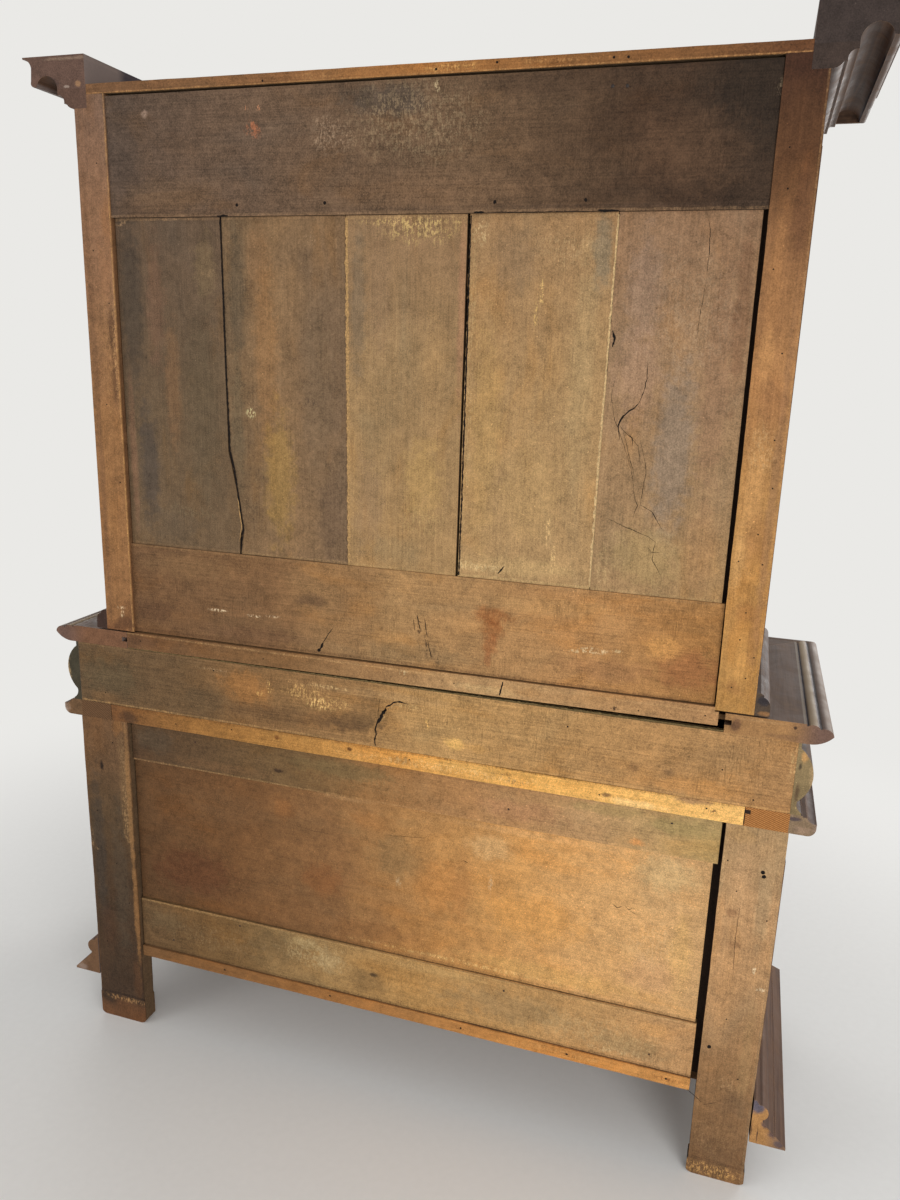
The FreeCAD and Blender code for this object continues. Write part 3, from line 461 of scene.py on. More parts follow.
def iron():
    g = painted("iron")
    rust = g.noise(90.0, 5.0, 0.7)
    base = g.mix(g.ramp(rust, 0.45, 0.70), colour(52, 45, 42), colour(98, 62, 42))
    return g.finish(base, g.ramp(rust, 0.3, 0.7, 0.42, 0.8), [(rust, 0.5 * MM)], metal=0.6, gleam=0.5)


def plain_mark(name, *tone):
    """Cracks, holes and bare edges: one tone, a little uneven."""
    g = painted(name)
    fleck = g.noise(260.0, 3.0, 0.7)
    base = g.mix(g.ramp(fleck, 0.3, 0.7), colour(*(v * 0.72 for v in tone)), colour(*tone))
    return g.finish(base, 0.9, [(fleck, 0.2 * MM)])


def as_object(name, mesh, material):
    data = bpy.data.meshes.new(name)
    mesh.to_mesh(data)
    mesh.free()
    data.materials.append(material)
    thing = bpy.data.objects.new(name, data)
    bpy.context.scene.collection.objects.link(thing)
    return thing


def new_piece(name, mesh, material, body="case"):
    piece = as_object(name, mesh, material)
    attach(piece, body)
    return piece


def worn(node, material, grain, seed, sway=0.7, edge=1.0, foot=0.0):
    """A copy of a CAD board with rounded, slightly uneven edges; it stands for the node."""
    low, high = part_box(node)
    mesh = bmesh.new()
    mesh.from_mesh(nodes[node].data)
    bmesh.ops.remove_doubles(mesh, verts=mesh.verts, dist=0.01 * MM)
    bmesh.ops.dissolve_limit(mesh, angle_limit=math.radians(1), verts=mesh.verts, edges=mesh.edges)
    axis = "XYZ".index(grain)
    length = high[axis] - low[axis]
    count = int(length / board_step)
    places = [low[axis] + length * number / count for number in range(1, count)]
    if foot:
        places += [low.z + share * foot * MM for share in foot_cuts]
    cut_across(mesh, axis, places)
    limit = math.radians(sharp_turn)
    sharp = [e for e in mesh.edges if len(e.link_faces) == 2 and e.calc_face_angle(0) > limit]
    bmesh.ops.bevel(mesh, geom=sharp, offset=edge * MM, segments=2, profile=0.6, affect="EDGES",
                    clamp_overlap=True)
    middle = (low + high) / 2
    for vertex in mesh.verts:
        place = vertex.co
        slow = noise.noise_vector(place * slow_waver + Vector((seed, seed, seed)))
        quick = noise.noise_vector(place * quick_waver + Vector((seed, 0, seed)))
        shift = (slow + quick * 0.55) * sway * MM
        shift.y *= 0.25
        if foot:
            shift.x += foot_swell(place, low.z, foot) * (1 if place.x > middle.x else -1)
        for side in range(3):
            place[side] = min(max(place[side] + shift[side], low[side]), high[side])
        place.y = min(place.y, high.y - inset)
    piece = new_piece("worn_" + node, mesh, material, nodes[node]["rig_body"])
    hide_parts(node)


def cut_across(mesh, axis, places):
    """Edge loops at places along an axis, so that a long edge can waver."""
    normal = Vector((0, 0, 0))
    normal[axis] = 1
    for place in places:
        everything = mesh.verts[:] + mesh.edges[:] + mesh.faces[:]
        bmesh.ops.bisect_plane(mesh, geom=everything, plane_co=normal * place, plane_no=normal,
                               dist=0.001 * MM)


def foot_swell(place, floor, foot):
    """How far a post's worn foot stands out or draws in: slimmer above it, round at its sole."""
    share = (place.z - floor) / (foot * MM)
    if share > 1.0:
        return -2.2 * MM
    return -6.0 * MM * max(0.0, 1.0 - share / 0.2) ** 2


def face_of(node):
    """Y of a board's outer face."""
    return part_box(node)[1].y - inset


def resampled(points):
    """Points a short step apart along a line of places in millimetres."""
    places = [Vector((x * MM, 0, z * MM)) for x, z in points]
    result = [places[0]]
    for start, end in zip(places, places[1:]):
        count = max(1, round((end - start).length / crack_step))
        result += [start.lerp(end, (number + 1) / count) for number in range(count)]
    return result


def add_ribbon(mesh, points, width, y, taper, seed):
    """A thin ragged strip along a line on a face that looks back; it narrows at its ends."""
    places = resampled(points)
    last = len(places) - 1
    rows = []
    for number, place in enumerate(places):
        ahead = places[min(number + 1, last)] - places[max(number - 1, 0)]
        across = Vector((ahead.z, 0, -ahead.x)).normalized()
        wave = noise.noise(place * 90.0 + Vector((seed, 0, 0)))
        swell = noise.noise(place * 160.0 + Vector((0, seed, 9.0)))
        jag = noise.noise(place * 420.0 + Vector((seed, 5.0, 0)))
        end = math.sin(math.pi * min(max(number / last, 0.02), 0.98)) ** taper
        half = across * (width * MM / 2 * end * (1.0 + 0.9 * swell))
        middle = place + across * (wave + 0.7 * jag) * MM
        rows.append([mesh.verts.new((p.x, y, p.z)) for p in (middle - half, middle + half)])
    for first, second in zip(rows, rows[1:]):
        mesh.faces.new((first[0], first[1], second[1], second[0]))


def ribbons(name, node, material, *lines, taper=0.5):
    """One piece with several strips on a board: each line is its width and its places."""
    mesh = bmesh.new()
    for number, (width, *points) in enumerate(lines):
        add_ribbon(mesh, points, width, face_of(node) + skin, taper, number * 3.1)
    new_piece(name, mesh, material)


def add_dome(mesh, x, y, z, radius, height, seed):
    """A nail head or the dark mouth of a hole: a flat dome with an uneven rim, looking back."""
    rings = []
    for share, rise in dome_rings:
        ring = []
        for number in range(dome_sides):
            turn = number * math.tau / dome_sides
            reach = radius * share * (1.0 + 0.3 * noise.noise(Vector((turn, seed, share))))
            place = (x + reach * math.cos(turn), y + rise * height, z + reach * math.sin(turn))
            ring.append(mesh.verts.new(place))
        rings.append(ring)
    top = mesh.verts.new((x, y + height, z))
    for low, high in zip(rings, rings[1:]):
        for number in range(dome_sides):
            other = (number + 1) % dome_sides
            mesh.faces.new((low[number], low[other], high[other], high[number]))
    for number in range(dome_sides):
        mesh.faces.new((rings[-1][number], rings[-1][(number + 1) % dome_sides], top))


def domes(name, material, height, *rows):
    """One piece with many heads or holes: each row is a node, a radius and places on it."""
    mesh = bmesh.new()
    for node, radius, *places in rows:
        y = face_of(node) - 0.05 * MM
        for number, (x, z) in enumerate(places):
            add_dome(mesh, x * MM, y, z * MM, radius * MM, height * MM, number * 1.7)
    new_piece(name, mesh, material)


# The boards and posts of the back. Tones: millimetres along the flow, red, green, blue.
# Blots and flecks: place, half width, half height, red, green, blue, weight.
# Rims: axis, place, reach, red, green, blue, weight.
# Across the back, the tones are brighter low down and towards -X and dimmer towards +X and in the top
# corners: partly the wood's own tone and partly painted light. Some broad dark blots towards +X are painted
# shade as well.
boards = {}
boards["back_top_board"] = dict(grain="X", strokes=1.3, fibre=1.1, depth=1.2, sway=0.5, edge=1.4, tones=[
    (-620, 60, 46, 35), (-430, 69, 50, 36), (-120, 108, 84, 62), (250, 108, 85, 66), (620, 94, 76, 63),
], blots=[
    (-590, 2030, 110, 90, 46, 36, 28, 0.8), (40, 2046, 90, 24, 74, 66, 58, 0.65),
    (-480, 1950, 90, 60, 100, 74, 54, 0.45), (590, 1990, 40, 110, 82, 68, 58, 0.55),
    (-60, 1900, 160, 30, 128, 98, 72, 0.4), (480, 1900, 120, 34, 116, 90, 66, 0.4),
    (-300, 2060, 200, 22, 74, 56, 42, 0.6), (529, 2043, 7, 8, 156, 130, 112, 0.7),
], flecks=[
    (312, 2045, 4, 5, 190, 132, 96, 1.0), (288, 2044, 4, 5, 190, 132, 96, 1.0),
    (301, 2012, 16, 16, 176, 110, 76, 0.8), (-54, 2062, 5, 12, 206, 182, 140, 0.9),
    (-16, 2012, 130, 60, 158, 134, 102, 0.45), (150, 1996, 40, 30, 176, 148, 120, 0.45),
    (-615, 2036, 9, 13, 134, 116, 92, 0.5),
], rims=[
    ("Z", 1863, 3.0, 142, 112, 82, 0.55), ("Z", 1870, 4.0, 84, 66, 52, 0.4),
])
boards["back_board_5"] = dict(grain="Z", tones=[
    (1210, 112, 90, 66), (1500, 106, 86, 64), (1861, 103, 83, 65),
], blots=[
    (584, 1700, 26, 190, 66, 58, 50, 0.6), (562, 1380, 24, 120, 74, 66, 60, 0.65),
    (497, 1540, 18, 120, 134, 98, 66, 0.45), (530, 1700, 20, 120, 116, 86, 66, 0.55),
    (415, 1770, 24, 60, 126, 104, 74, 0.5), (430, 1500, 40, 200, 98, 84, 64, 0.45),
    (500, 1260, 60, 40, 100, 84, 66, 0.45), (598, 1400, 8, 160, 132, 98, 74, 0.6),
], flecks=[
    (410, 1760, 20, 8, 164, 132, 96, 0.5), (600, 1852, 14, 5, 182, 146, 108, 0.7),
    (470, 1290, 60, 12, 130, 112, 84, 0.4),
], rims=[
    ("Z", 1858, 2.5, 164, 128, 92, 0.6), ("Z", 1213, 3.0, 150, 118, 84, 0.45),
])
boards["back_board_4"] = dict(grain="Z", flow="X", tones=[
    (120, 120, 96, 72), (250, 138, 108, 76), (375, 112, 90, 66),
], blots=[
    (300, 1780, 24, 90, 142, 106, 72, 0.45), (286, 1600, 24, 190, 150, 110, 70, 0.5),
    (262, 1370, 34, 130, 160, 126, 70, 0.6), (346, 1740, 18, 120, 94, 80, 62, 0.65),
    (352, 1480, 16, 120, 104, 90, 68, 0.55), (180, 1560, 34, 160, 120, 98, 74, 0.55),
    (150, 1300, 26, 80, 106, 84, 64, 0.6), (230, 1750, 30, 80, 134, 106, 76, 0.4),
], flecks=[
    (323, 1498, 10, 10, 206, 190, 140, 1.0), (198, 1523, 26, 8, 86, 68, 54, 0.6),
    (190, 1820, 12, 8, 170, 140, 108, 0.6), (316, 1365, 4, 8, 190, 160, 116, 0.8),
], rims=[
    ("Z", 1858, 2.0, 160, 126, 92, 0.55), ("Z", 1213, 3.0, 170, 138, 96, 0.45),
])
boards["back_board_3"] = dict(grain="Z", tones=[
    (1210, 166, 132, 89), (1550, 153, 123, 85), (1861, 141, 111, 80),
], blots=[
    (94, 1700, 16, 130, 124, 106, 84, 0.6), (50, 1740, 24, 120, 140, 112, 84, 0.45),
    (-108, 1700, 8, 160, 168, 124, 92, 0.6), (-58, 1560, 24, 140, 164, 130, 88, 0.5),
    (-44, 1390, 40, 70, 184, 148, 92, 0.55), (70, 1330, 30, 100, 146, 118, 88, 0.5),
    (20, 1250, 60, 24, 150, 126, 90, 0.4),
], flecks=[
    (-10, 1850, 100, 9, 206, 172, 112, 0.8), (-30, 1836, 66, 22, 200, 168, 110, 0.75),
    (-40, 1310, 50, 26, 194, 162, 108, 0.4), (30, 1650, 60, 90, 176, 148, 108, 0.2),
], rims=[
    ("Z", 1857, 3.0, 186, 150, 104, 0.6), ("Z", 1213, 2.5, 190, 156, 106, 0.45),
])
boards["back_board_2"] = dict(grain="Z", tones=[
    (1210, 171, 137, 94), (1550, 165, 132, 90), (1861, 155, 121, 84),
], blots=[
    (-200, 1790, 40, 50, 140, 112, 82, 0.55), (-330, 1600, 24, 200, 176, 146, 102, 0.45),
    (-160, 1480, 30, 200, 176, 142, 90, 0.45), (-250, 1380, 60, 90, 182, 148, 98, 0.35),
    (-355, 1800, 16, 60, 128, 116, 94, 0.65), (-230, 1240, 110, 18, 190, 158, 108, 0.45),
], flecks=[
    (-252, 1730, 4, 26, 214, 176, 112, 1.0), (-244, 1690, 4, 30, 206, 168, 106, 0.9),
    (-288, 1310, 5, 26, 222, 184, 126, 0.95), (-300, 1262, 4, 26, 214, 178, 122, 0.9),
    (-140, 1830, 12, 24, 206, 176, 128, 0.6), (-128, 1600, 6, 250, 190, 160, 112, 0.5),
    (-300, 1800, 60, 30, 190, 160, 116, 0.35), (-150, 1232, 50, 8, 210, 182, 132, 0.6),
], rims=[
    ("Z", 1857, 2.0, 170, 138, 98, 0.5), ("Z", 1213, 3.0, 204, 172, 118, 0.6),
])
boards["back_board_1"] = dict(grain="Z", tones=[
    (1210, 157, 125, 86), (1500, 152, 121, 88), (1861, 142, 110, 82),
], blots=[
    (-430, 1740, 30, 90, 146, 120, 100, 0.55), (-500, 1470, 34, 150, 136, 120, 104, 0.6),
    (-560, 1600, 24, 220, 140, 106, 80, 0.5), (-470, 1280, 70, 50, 164, 138, 92, 0.5),
    (-430, 1600, 40, 80, 164, 130, 104, 0.5), (-590, 1700, 14, 140, 118, 84, 60, 0.6),
    (-560, 1300, 30, 80, 160, 122, 84, 0.45),
], flecks=[
    (-500, 1700, 90, 110, 172, 146, 116, 0.25), (-395, 1250, 12, 50, 196, 166, 118, 0.4),
], rims=[
    ("Z", 1213, 2.5, 180, 150, 104, 0.4),
])
boards["back_bottom_board"] = dict(grain="X", strokes=1.3, fibre=1.3, depth=1.05, wall=(84, 62, 42), tones=[
    (-615, 155, 111, 64), (-350, 172, 128, 82), (0, 164, 127, 84), (250, 128, 94, 62), (615, 114, 83, 56),
], blots=[
    (188, 1128, 34, 14, 96, 72, 52, 0.6), (566, 1066, 46, 22, 94, 66, 46, 0.6),
    (-560, 1080, 60, 40, 146, 92, 56, 0.6), (-515, 1116, 34, 24, 200, 146, 84, 0.65),
    (-40, 1045, 110, 20, 132, 108, 76, 0.45), (-416, 1060, 90, 22, 150, 106, 70, 0.45),
    (330, 1040, 120, 16, 112, 80, 56, 0.45), (-190, 1140, 34, 20, 150, 92, 48, 0.6),
    (-192, 1112, 24, 22, 146, 86, 44, 0.6), (-188, 1082, 15, 24, 150, 92, 52, 0.6),
    (-184, 1054, 8, 18, 150, 96, 58, 0.55), (480, 1170, 110, 26, 136, 104, 70, 0.4),
    (-300, 1170, 120, 18, 182, 142, 92, 0.35),
], flecks=[
    (-385, 1094, 26, 6, 222, 196, 152, 1.0), (-350, 1090, 20, 3, 206, 176, 130, 0.9),
    (-430, 1099, 14, 3, 206, 176, 130, 0.7), (410, 1084, 24, 3, 222, 196, 158, 1.0),
    (325, 1081, 16, 3, 222, 196, 158, 1.0), (277, 1085, 16, 3, 210, 182, 144, 0.9),
    (-42, 1100, 4, 16, 66, 48, 34, 1.0), (-58, 1070, 4, 34, 80, 60, 42, 0.8),
    (-75, 1040, 12, 16, 80, 60, 42, 0.7), (-190, 1136, 40, 18, 120, 66, 34, 0.35),
], rims=[
    ("Z", 1207, 3.0, 150, 116, 78, 0.45), ("Z", 1021, 3.0, 92, 64, 44, 0.5),
])
boards["upper_rear_stile_right"] = dict(
    grain="Z", side=True, wall=(116, 82, 54), fibre=0.9, sway=0.5, edge=1.6, tones=[
    (1013, 122, 80, 50), (1080, 146, 104, 66), (1500, 149, 107, 68), (1900, 140, 104, 78),
    (2060, 128, 98, 78),
], blots=[
    (640, 1030, 30, 20, 84, 56, 38, 0.7), (672, 1500, 8, 500, 112, 80, 56, 0.5),
    (650, 1250, 16, 80, 158, 112, 68, 0.45), (636, 1750, 12, 60, 156, 112, 78, 0.4),
    (628, 1645, 8, 46, 92, 64, 44, 0.75), (627, 1545, 7, 46, 98, 68, 46, 0.75),
], flecks=[
    (621, 1600, 5, 110, 196, 150, 100, 0.6), (640, 1600, 14, 110, 176, 132, 84, 0.35),
    (648, 1066, 10, 4, 220, 190, 150, 1.0), (642, 1050, 4, 8, 210, 180, 140, 0.9),
], rims=[
    ("X", 617, 1.8, 188, 142, 88, 0.65),
])
boards["upper_rear_stile_left"] = dict(
    grain="Z", side=True, fibre=1.1, depth=0.85, sway=1.1, edge=1.6, tones=[
    (1013, 171, 127, 71), (1300, 172, 127, 74), (1600, 166, 120, 76), (1780, 140, 99, 64),
    (1930, 90, 60, 38), (2080, 67, 42, 29),
], blots=[
    (-672, 1400, 8, 300, 140, 104, 74, 0.5), (-640, 1400, 16, 120, 200, 150, 94, 0.55),
    (-650, 1330, 20, 40, 150, 104, 62, 0.45), (-650, 1100, 18, 60, 192, 144, 84, 0.45),
    (-636, 1720, 12, 120, 174, 124, 78, 0.45), (-650, 1200, 22, 20, 150, 102, 58, 0.5),
    (-628, 1290, 10, 60, 206, 158, 100, 0.5), (-668, 1160, 10, 60, 150, 106, 64, 0.5),
    (-640, 1060, 16, 12, 150, 104, 60, 0.5), (-655, 1560, 22, 50, 144, 100, 64, 0.5),
    (-636, 1640, 12, 40, 190, 140, 88, 0.5), (-664, 1850, 14, 80, 96, 64, 44, 0.5),
], flecks=[
    (-646, 1480, 20, 40, 216, 176, 124, 0.35), (-655, 1060, 20, 20, 140, 96, 54, 0.4),
], rims=[
    ("X", -681, 1.6, 170, 132, 90, 0.4),
])
boards["upper_top_board"] = dict(grain="X", sway=0.5, edge=1.3, fibre=1.2, wall=(112, 90, 66), tones=[
    (-690, 98, 64, 42), (-350, 132, 90, 52), (-60, 164, 112, 62), (250, 138, 96, 60), (690, 116, 84, 58),
], flecks=[
    (-75, 2091, 40, 6, 206, 156, 92, 0.8), (170, 2090, 50, 5, 176, 130, 82, 0.5),
    (-260, 2092, 70, 4, 180, 132, 80, 0.5),
], rims=[
    ("Z", 2083, 1.6, 186, 138, 86, 0.65),
])
boards["table_field_board"] = dict(grain="X", sway=0.5, edge=1.2, fibre=0.9, wall=(122, 92, 60), tones=[
    (-634, 168, 126, 84), (-200, 176, 138, 94), (20, 156, 118, 78), (260, 128, 93, 58), (634, 112, 80, 54),
], blots=[
    (-190, 992, 60, 10, 186, 152, 104, 0.5), (-420, 996, 160, 8, 176, 134, 88, 0.4),
    (600, 995, 40, 12, 96, 68, 48, 0.5),
], flecks=[
    (-436, 990, 8, 5, 70, 50, 36, 0.9), (-12, 1004, 10, 5, 214, 186, 140, 0.8),
    (-160, 994, 60, 8, 200, 168, 120, 0.35),
], rims=[
    ("Z", 1008, 2.0, 196, 156, 106, 0.4),
])
boards["frieze_back_board"] = dict(
    grain="X", strokes=1.5, fibre=1.4, depth=1.05, edge=1.3, wall=(132, 112, 74), tones=[
    (-790, 160, 120, 78), (-500, 172, 131, 84), (-100, 180, 140, 89), (120, 148, 112, 72),
    (330, 132, 98, 62), (500, 107, 82, 55), (790, 102, 80, 56),
], blots=[
    (343, 920, 60, 40, 172, 118, 64, 0.55), (95, 880, 70, 22, 92, 70, 48, 0.6),
    (250, 872, 190, 20, 98, 72, 48, 0.5), (60, 912, 34, 40, 104, 80, 54, 0.5),
    (684, 897, 70, 46, 92, 78, 56, 0.6), (190, 925, 70, 30, 156, 116, 72, 0.45),
    (440, 880, 60, 30, 100, 80, 56, 0.5), (-124, 868, 22, 13, 214, 168, 98, 0.85),
    (-170, 866, 30, 9, 196, 148, 86, 0.55), (-595, 856, 90, 18, 196, 140, 80, 0.5),
    (-479, 878, 12, 9, 120, 88, 58, 0.6), (-545, 878, 12, 8, 110, 82, 56, 0.6),
    (-640, 920, 60, 30, 150, 118, 80, 0.35), (40, 950, 160, 10, 176, 140, 96, 0.4),
    (700, 850, 40, 14, 128, 94, 60, 0.5),
], flecks=[
    (287, 932, 6, 14, 222, 178, 110, 1.0), (205, 932, 60, 16, 218, 172, 108, 0.65),
    (178, 912, 26, 12, 232, 190, 122, 0.85), (130, 916, 26, 16, 216, 172, 108, 0.65),
    (150, 950, 44, 4, 226, 186, 128, 0.8), (310, 914, 8, 5, 216, 168, 100, 0.8),
    (-30, 932, 30, 6, 220, 180, 120, 0.7), (-66, 900, 5, 12, 226, 178, 106, 0.9),
    (420, 952, 40, 3, 190, 160, 120, 0.5), (-761, 925, 8, 30, 206, 170, 116, 0.5),
], rims=[
    ("Z", 837, 2.5, 196, 152, 96, 0.45), ("Z", 970, 2.0, 150, 116, 78, 0.35),
])
boards["waist_back_strip"] = dict(grain="X", sway=1.2, edge=1.6, fibre=1.3, tones=[
    (-665, 236, 184, 108), (-300, 226, 170, 92), (0, 208, 152, 82), (240, 176, 126, 66),
    (450, 152, 106, 56), (660, 118, 80, 48),
], blots=[
    (640, 808, 26, 16, 72, 52, 38, 0.7), (271, 819, 7, 6, 118, 76, 38, 0.9),
    (103, 820, 6, 5, 96, 60, 30, 0.9), (-15, 812, 30, 8, 160, 112, 58, 0.6),
    (-434, 812, 8, 5, 120, 90, 60, 0.8), (-592, 830, 34, 8, 140, 106, 84, 0.65),
    (-491, 803, 60, 8, 240, 200, 136, 0.55), (-150, 822, 90, 8, 222, 172, 98, 0.5),
], flecks=[
    (-235, 818, 12, 6, 96, 62, 32, 0.9), (-254, 807, 14, 5, 110, 70, 36, 0.9),
    (-631, 815, 9, 4, 110, 80, 50, 0.9), (-20, 818, 24, 10, 130, 88, 46, 0.5),
    (-100, 812, 200, 9, 240, 200, 136, 0.35),
], rims=[
    ("Z", 832, 2.5, 110, 72, 40, 0.55),
])
boards["lower_back_top_rail"] = dict(grain="X", strokes=0.2, tones=[
    (-620, 172, 144, 96), (-420, 180, 142, 98), (-200, 170, 125, 80), (20, 152, 110, 67),
    (250, 114, 88, 57), (620, 86, 64, 45),
], blots=[
    (276, 736, 13, 6, 58, 42, 30, 0.9), (124, 764, 110, 20, 118, 98, 64, 0.6),
    (-576, 764, 60, 20, 148, 128, 82, 0.65), (-498, 718, 16, 9, 212, 146, 84, 0.75),
    (585, 757, 50, 28, 84, 70, 54, 0.6), (-263, 740, 90, 22, 172, 122, 86, 0.45),
    (-440, 776, 90, 12, 156, 132, 84, 0.5), (420, 720, 110, 12, 120, 88, 58, 0.4),
], flecks=[
    (-500, 716, 30, 8, 206, 152, 92, 0.5), (60, 745, 120, 26, 150, 124, 84, 0.25),
], rims=[
    ("Z", 704, 2.5, 206, 160, 106, 0.35),
])
boards["lower_back_panel"] = dict(grain="X", sway=0.4, edge=0.8, fibre=0.7, tones=[
    (-620, 200, 158, 108), (-420, 206, 158, 102), (-250, 200, 148, 88), (-60, 172, 126, 76),
    (150, 138, 99, 62), (350, 117, 81, 49), (620, 95, 67, 42),
], blots=[
    (267, 645, 26, 30, 146, 98, 56, 0.6), (173, 493, 50, 40, 130, 82, 46, 0.55),
    (56, 655, 50, 22, 162, 112, 64, 0.55), (-98, 527, 60, 70, 184, 126, 68, 0.6),
    (500, 440, 110, 60, 94, 56, 34, 0.6), (124, 698, 60, 7, 172, 132, 88, 0.6),
    (0, 580, 60, 50, 134, 108, 72, 0.5), (-207, 644, 46, 30, 214, 172, 118, 0.55),
    (-306, 500, 110, 50, 208, 150, 82, 0.55), (-559, 658, 60, 40, 196, 166, 118, 0.6),
    (-600, 480, 24, 90, 220, 174, 108, 0.5), (-549, 430, 60, 40, 206, 158, 112, 0.5),
    (-148, 536, 26, 80, 166, 116, 68, 0.45), (-350, 380, 180, 20, 208, 164, 98, 0.45),
    (60, 390, 120, 24, 140, 96, 56, 0.5), (420, 620, 120, 40, 118, 86, 56, 0.5),
    (-280, 690, 160, 8, 206, 158, 104, 0.5),
], flecks=[
    (-200, 362, 260, 5, 230, 190, 122, 0.6), (-5, 520, 6, 14, 206, 176, 134, 0.6),
    (-540, 500, 50, 60, 222, 184, 134, 0.3), (-208, 560, 5, 24, 206, 176, 136, 0.6),
], rims=[
    ("Z", 349, 3.5, 110, 78, 48, 0.45),
])
boards["lower_back_bottom_rail"] = dict(
    grain="X", strokes=1.3, sway=0.9, edge=1.6, fibre=0.9, wall=(112, 88, 56), tones=[
    (-620, 184, 141, 95), (-300, 186, 143, 90), (0, 178, 136, 82), (180, 158, 126, 82), (400, 120, 91, 56),
    (620, 108, 82, 54),
], blots=[
    (218, 323, 40, 14, 168, 142, 98, 0.6), (160, 292, 26, 30, 164, 140, 100, 0.6),
    (580, 300, 50, 30, 112, 92, 64, 0.5), (-559, 312, 34, 16, 206, 154, 96, 0.55),
    (49, 283, 13, 5, 60, 46, 34, 0.9), (60, 262, 50, 30, 112, 86, 54, 0.45),
    (-250, 280, 130, 40, 146, 122, 86, 0.5), (-520, 260, 80, 24, 142, 120, 84, 0.45),
    (300, 300, 60, 30, 110, 88, 58, 0.45), (-100, 330, 120, 10, 186, 150, 98, 0.45),
], flecks=[
    (190, 300, 80, 34, 192, 166, 120, 0.45), (-460, 270, 120, 40, 196, 166, 118, 0.35),
    (-16, 229, 10, 6, 70, 50, 36, 0.8), (-500, 236, 60, 6, 216, 186, 136, 0.5),
    (420, 280, 120, 34, 150, 124, 88, 0.3),
], rims=[
    ("Z", 343, 2.5, 206, 168, 112, 0.35), ("Z", 223, 3.0, 96, 72, 48, 0.55),
])
boards["lower_bottom_board"] = dict(grain="X", sway=0.8, edge=1.5, wall=(112, 82, 54), tones=[
    (-640, 200, 142, 80), (-300, 190, 132, 72), (0, 166, 116, 66), (260, 152, 104, 58), (640, 118, 84, 52),
], flecks=[
    (-400, 207, 120, 8, 214, 160, 96, 0.5), (-598, 206, 26, 5, 130, 80, 44, 0.7),
    (-160, 207, 14, 5, 110, 74, 46, 0.7), (-392, 206, 18, 4, 100, 66, 40, 0.7),
])
boards["lower_rear_post_right"] = dict(
    grain="Z", side=True, wall=(98, 76, 54), sway=1.4, edge=2.4, fibre=0.8, foot=62, tones=[
    (0, 116, 78, 50), (50, 100, 68, 45), (72, 70, 52, 38), (350, 75, 56, 39), (600, 91, 70, 48),
    (796, 112, 82, 56),
], blots=[
    (724, 677, 6, 12, 36, 26, 20, 0.95), (736, 677, 10, 18, 104, 76, 50, 0.6),
    (745, 450, 18, 200, 66, 58, 50, 0.6), (668, 640, 10, 130, 118, 90, 60, 0.55),
    (690, 380, 22, 200, 80, 68, 54, 0.5), (676, 780, 14, 20, 142, 98, 56, 0.6),
    (735, 250, 20, 60, 82, 56, 38, 0.5), (652, 320, 7, 150, 138, 99, 60, 0.8),
    (654, 600, 7, 190, 146, 108, 68, 0.8), (660, 120, 12, 60, 92, 62, 40, 0.55),
], flecks=[
    (664, 570, 9, 90, 158, 124, 84, 0.75), (666, 720, 10, 50, 138, 108, 74, 0.6),
    (654, 330, 6, 200, 136, 98, 60, 0.6), (764, 480, 5, 30, 140, 112, 82, 0.8),
    (755, 460, 8, 6, 176, 142, 102, 0.7), (700, 56, 60, 9, 184, 140, 92, 0.8),
], rims=[
    ("X", 768, 3.0, 118, 82, 54, 0.4), ("Z", 67, 4.0, 40, 30, 24, 0.8),
])
boards["lower_rear_post_left"] = dict(grain="Z", side=True, sway=0.9, edge=2.0, fibre=1.1, foot=34, tones=[
    (0, 176, 128, 76), (34, 120, 88, 58), (90, 118, 88, 60), (240, 144, 108, 72), (460, 176, 136, 94),
    (640, 182, 142, 100), (796, 162, 132, 94),
], blots=[
    (-687, 778, 30, 16, 176, 138, 90, 0.5), (-740, 640, 14, 90, 166, 140, 104, 0.5),
    (-684, 613, 12, 10, 124, 88, 60, 0.6), (-696, 545, 14, 8, 134, 96, 66, 0.55),
    (-700, 700, 18, 60, 190, 150, 108, 0.45), (-745, 300, 12, 120, 156, 124, 84, 0.45),
    (-690, 440, 16, 120, 186, 142, 96, 0.4), (-668, 200, 12, 90, 128, 96, 64, 0.5),
    (-735, 190, 26, 30, 112, 86, 62, 0.5),
], flecks=[
    (-741, 499, 4, 7, 226, 200, 160, 1.0), (-752, 461, 12, 4, 226, 200, 160, 1.0),
    (-700, 18, 60, 16, 206, 158, 96, 0.8), (-700, 100, 50, 40, 150, 116, 80, 0.5),
    (-660, 700, 6, 60, 204, 168, 122, 0.5), (-714, 230, 20, 20, 176, 140, 98, 0.5),
], rims=[
    ("X", -766, 3.0, 150, 124, 92, 0.5), ("X", -646, 2.5, 196, 154, 106, 0.4),
    ("Z", 40, 4.0, 84, 60, 40, 0.6),
])


def dress_back():
    """Every board and post of the back gets its own wood and worn edges."""
    for number, (node, row) in enumerate(boards.items()):
        shape = {key: row.pop(key) for key in ("sway", "edge", "foot") if key in row}
        wood = aged_wood(node, seed=number + 1.0, **row)
        worn(node, wood, row["grain"], number + 1.0, **shape)


def dress(material, *names):
    for name in names:
        data = nodes[name].data
        data.materials.clear()
        data.materials.append(material)


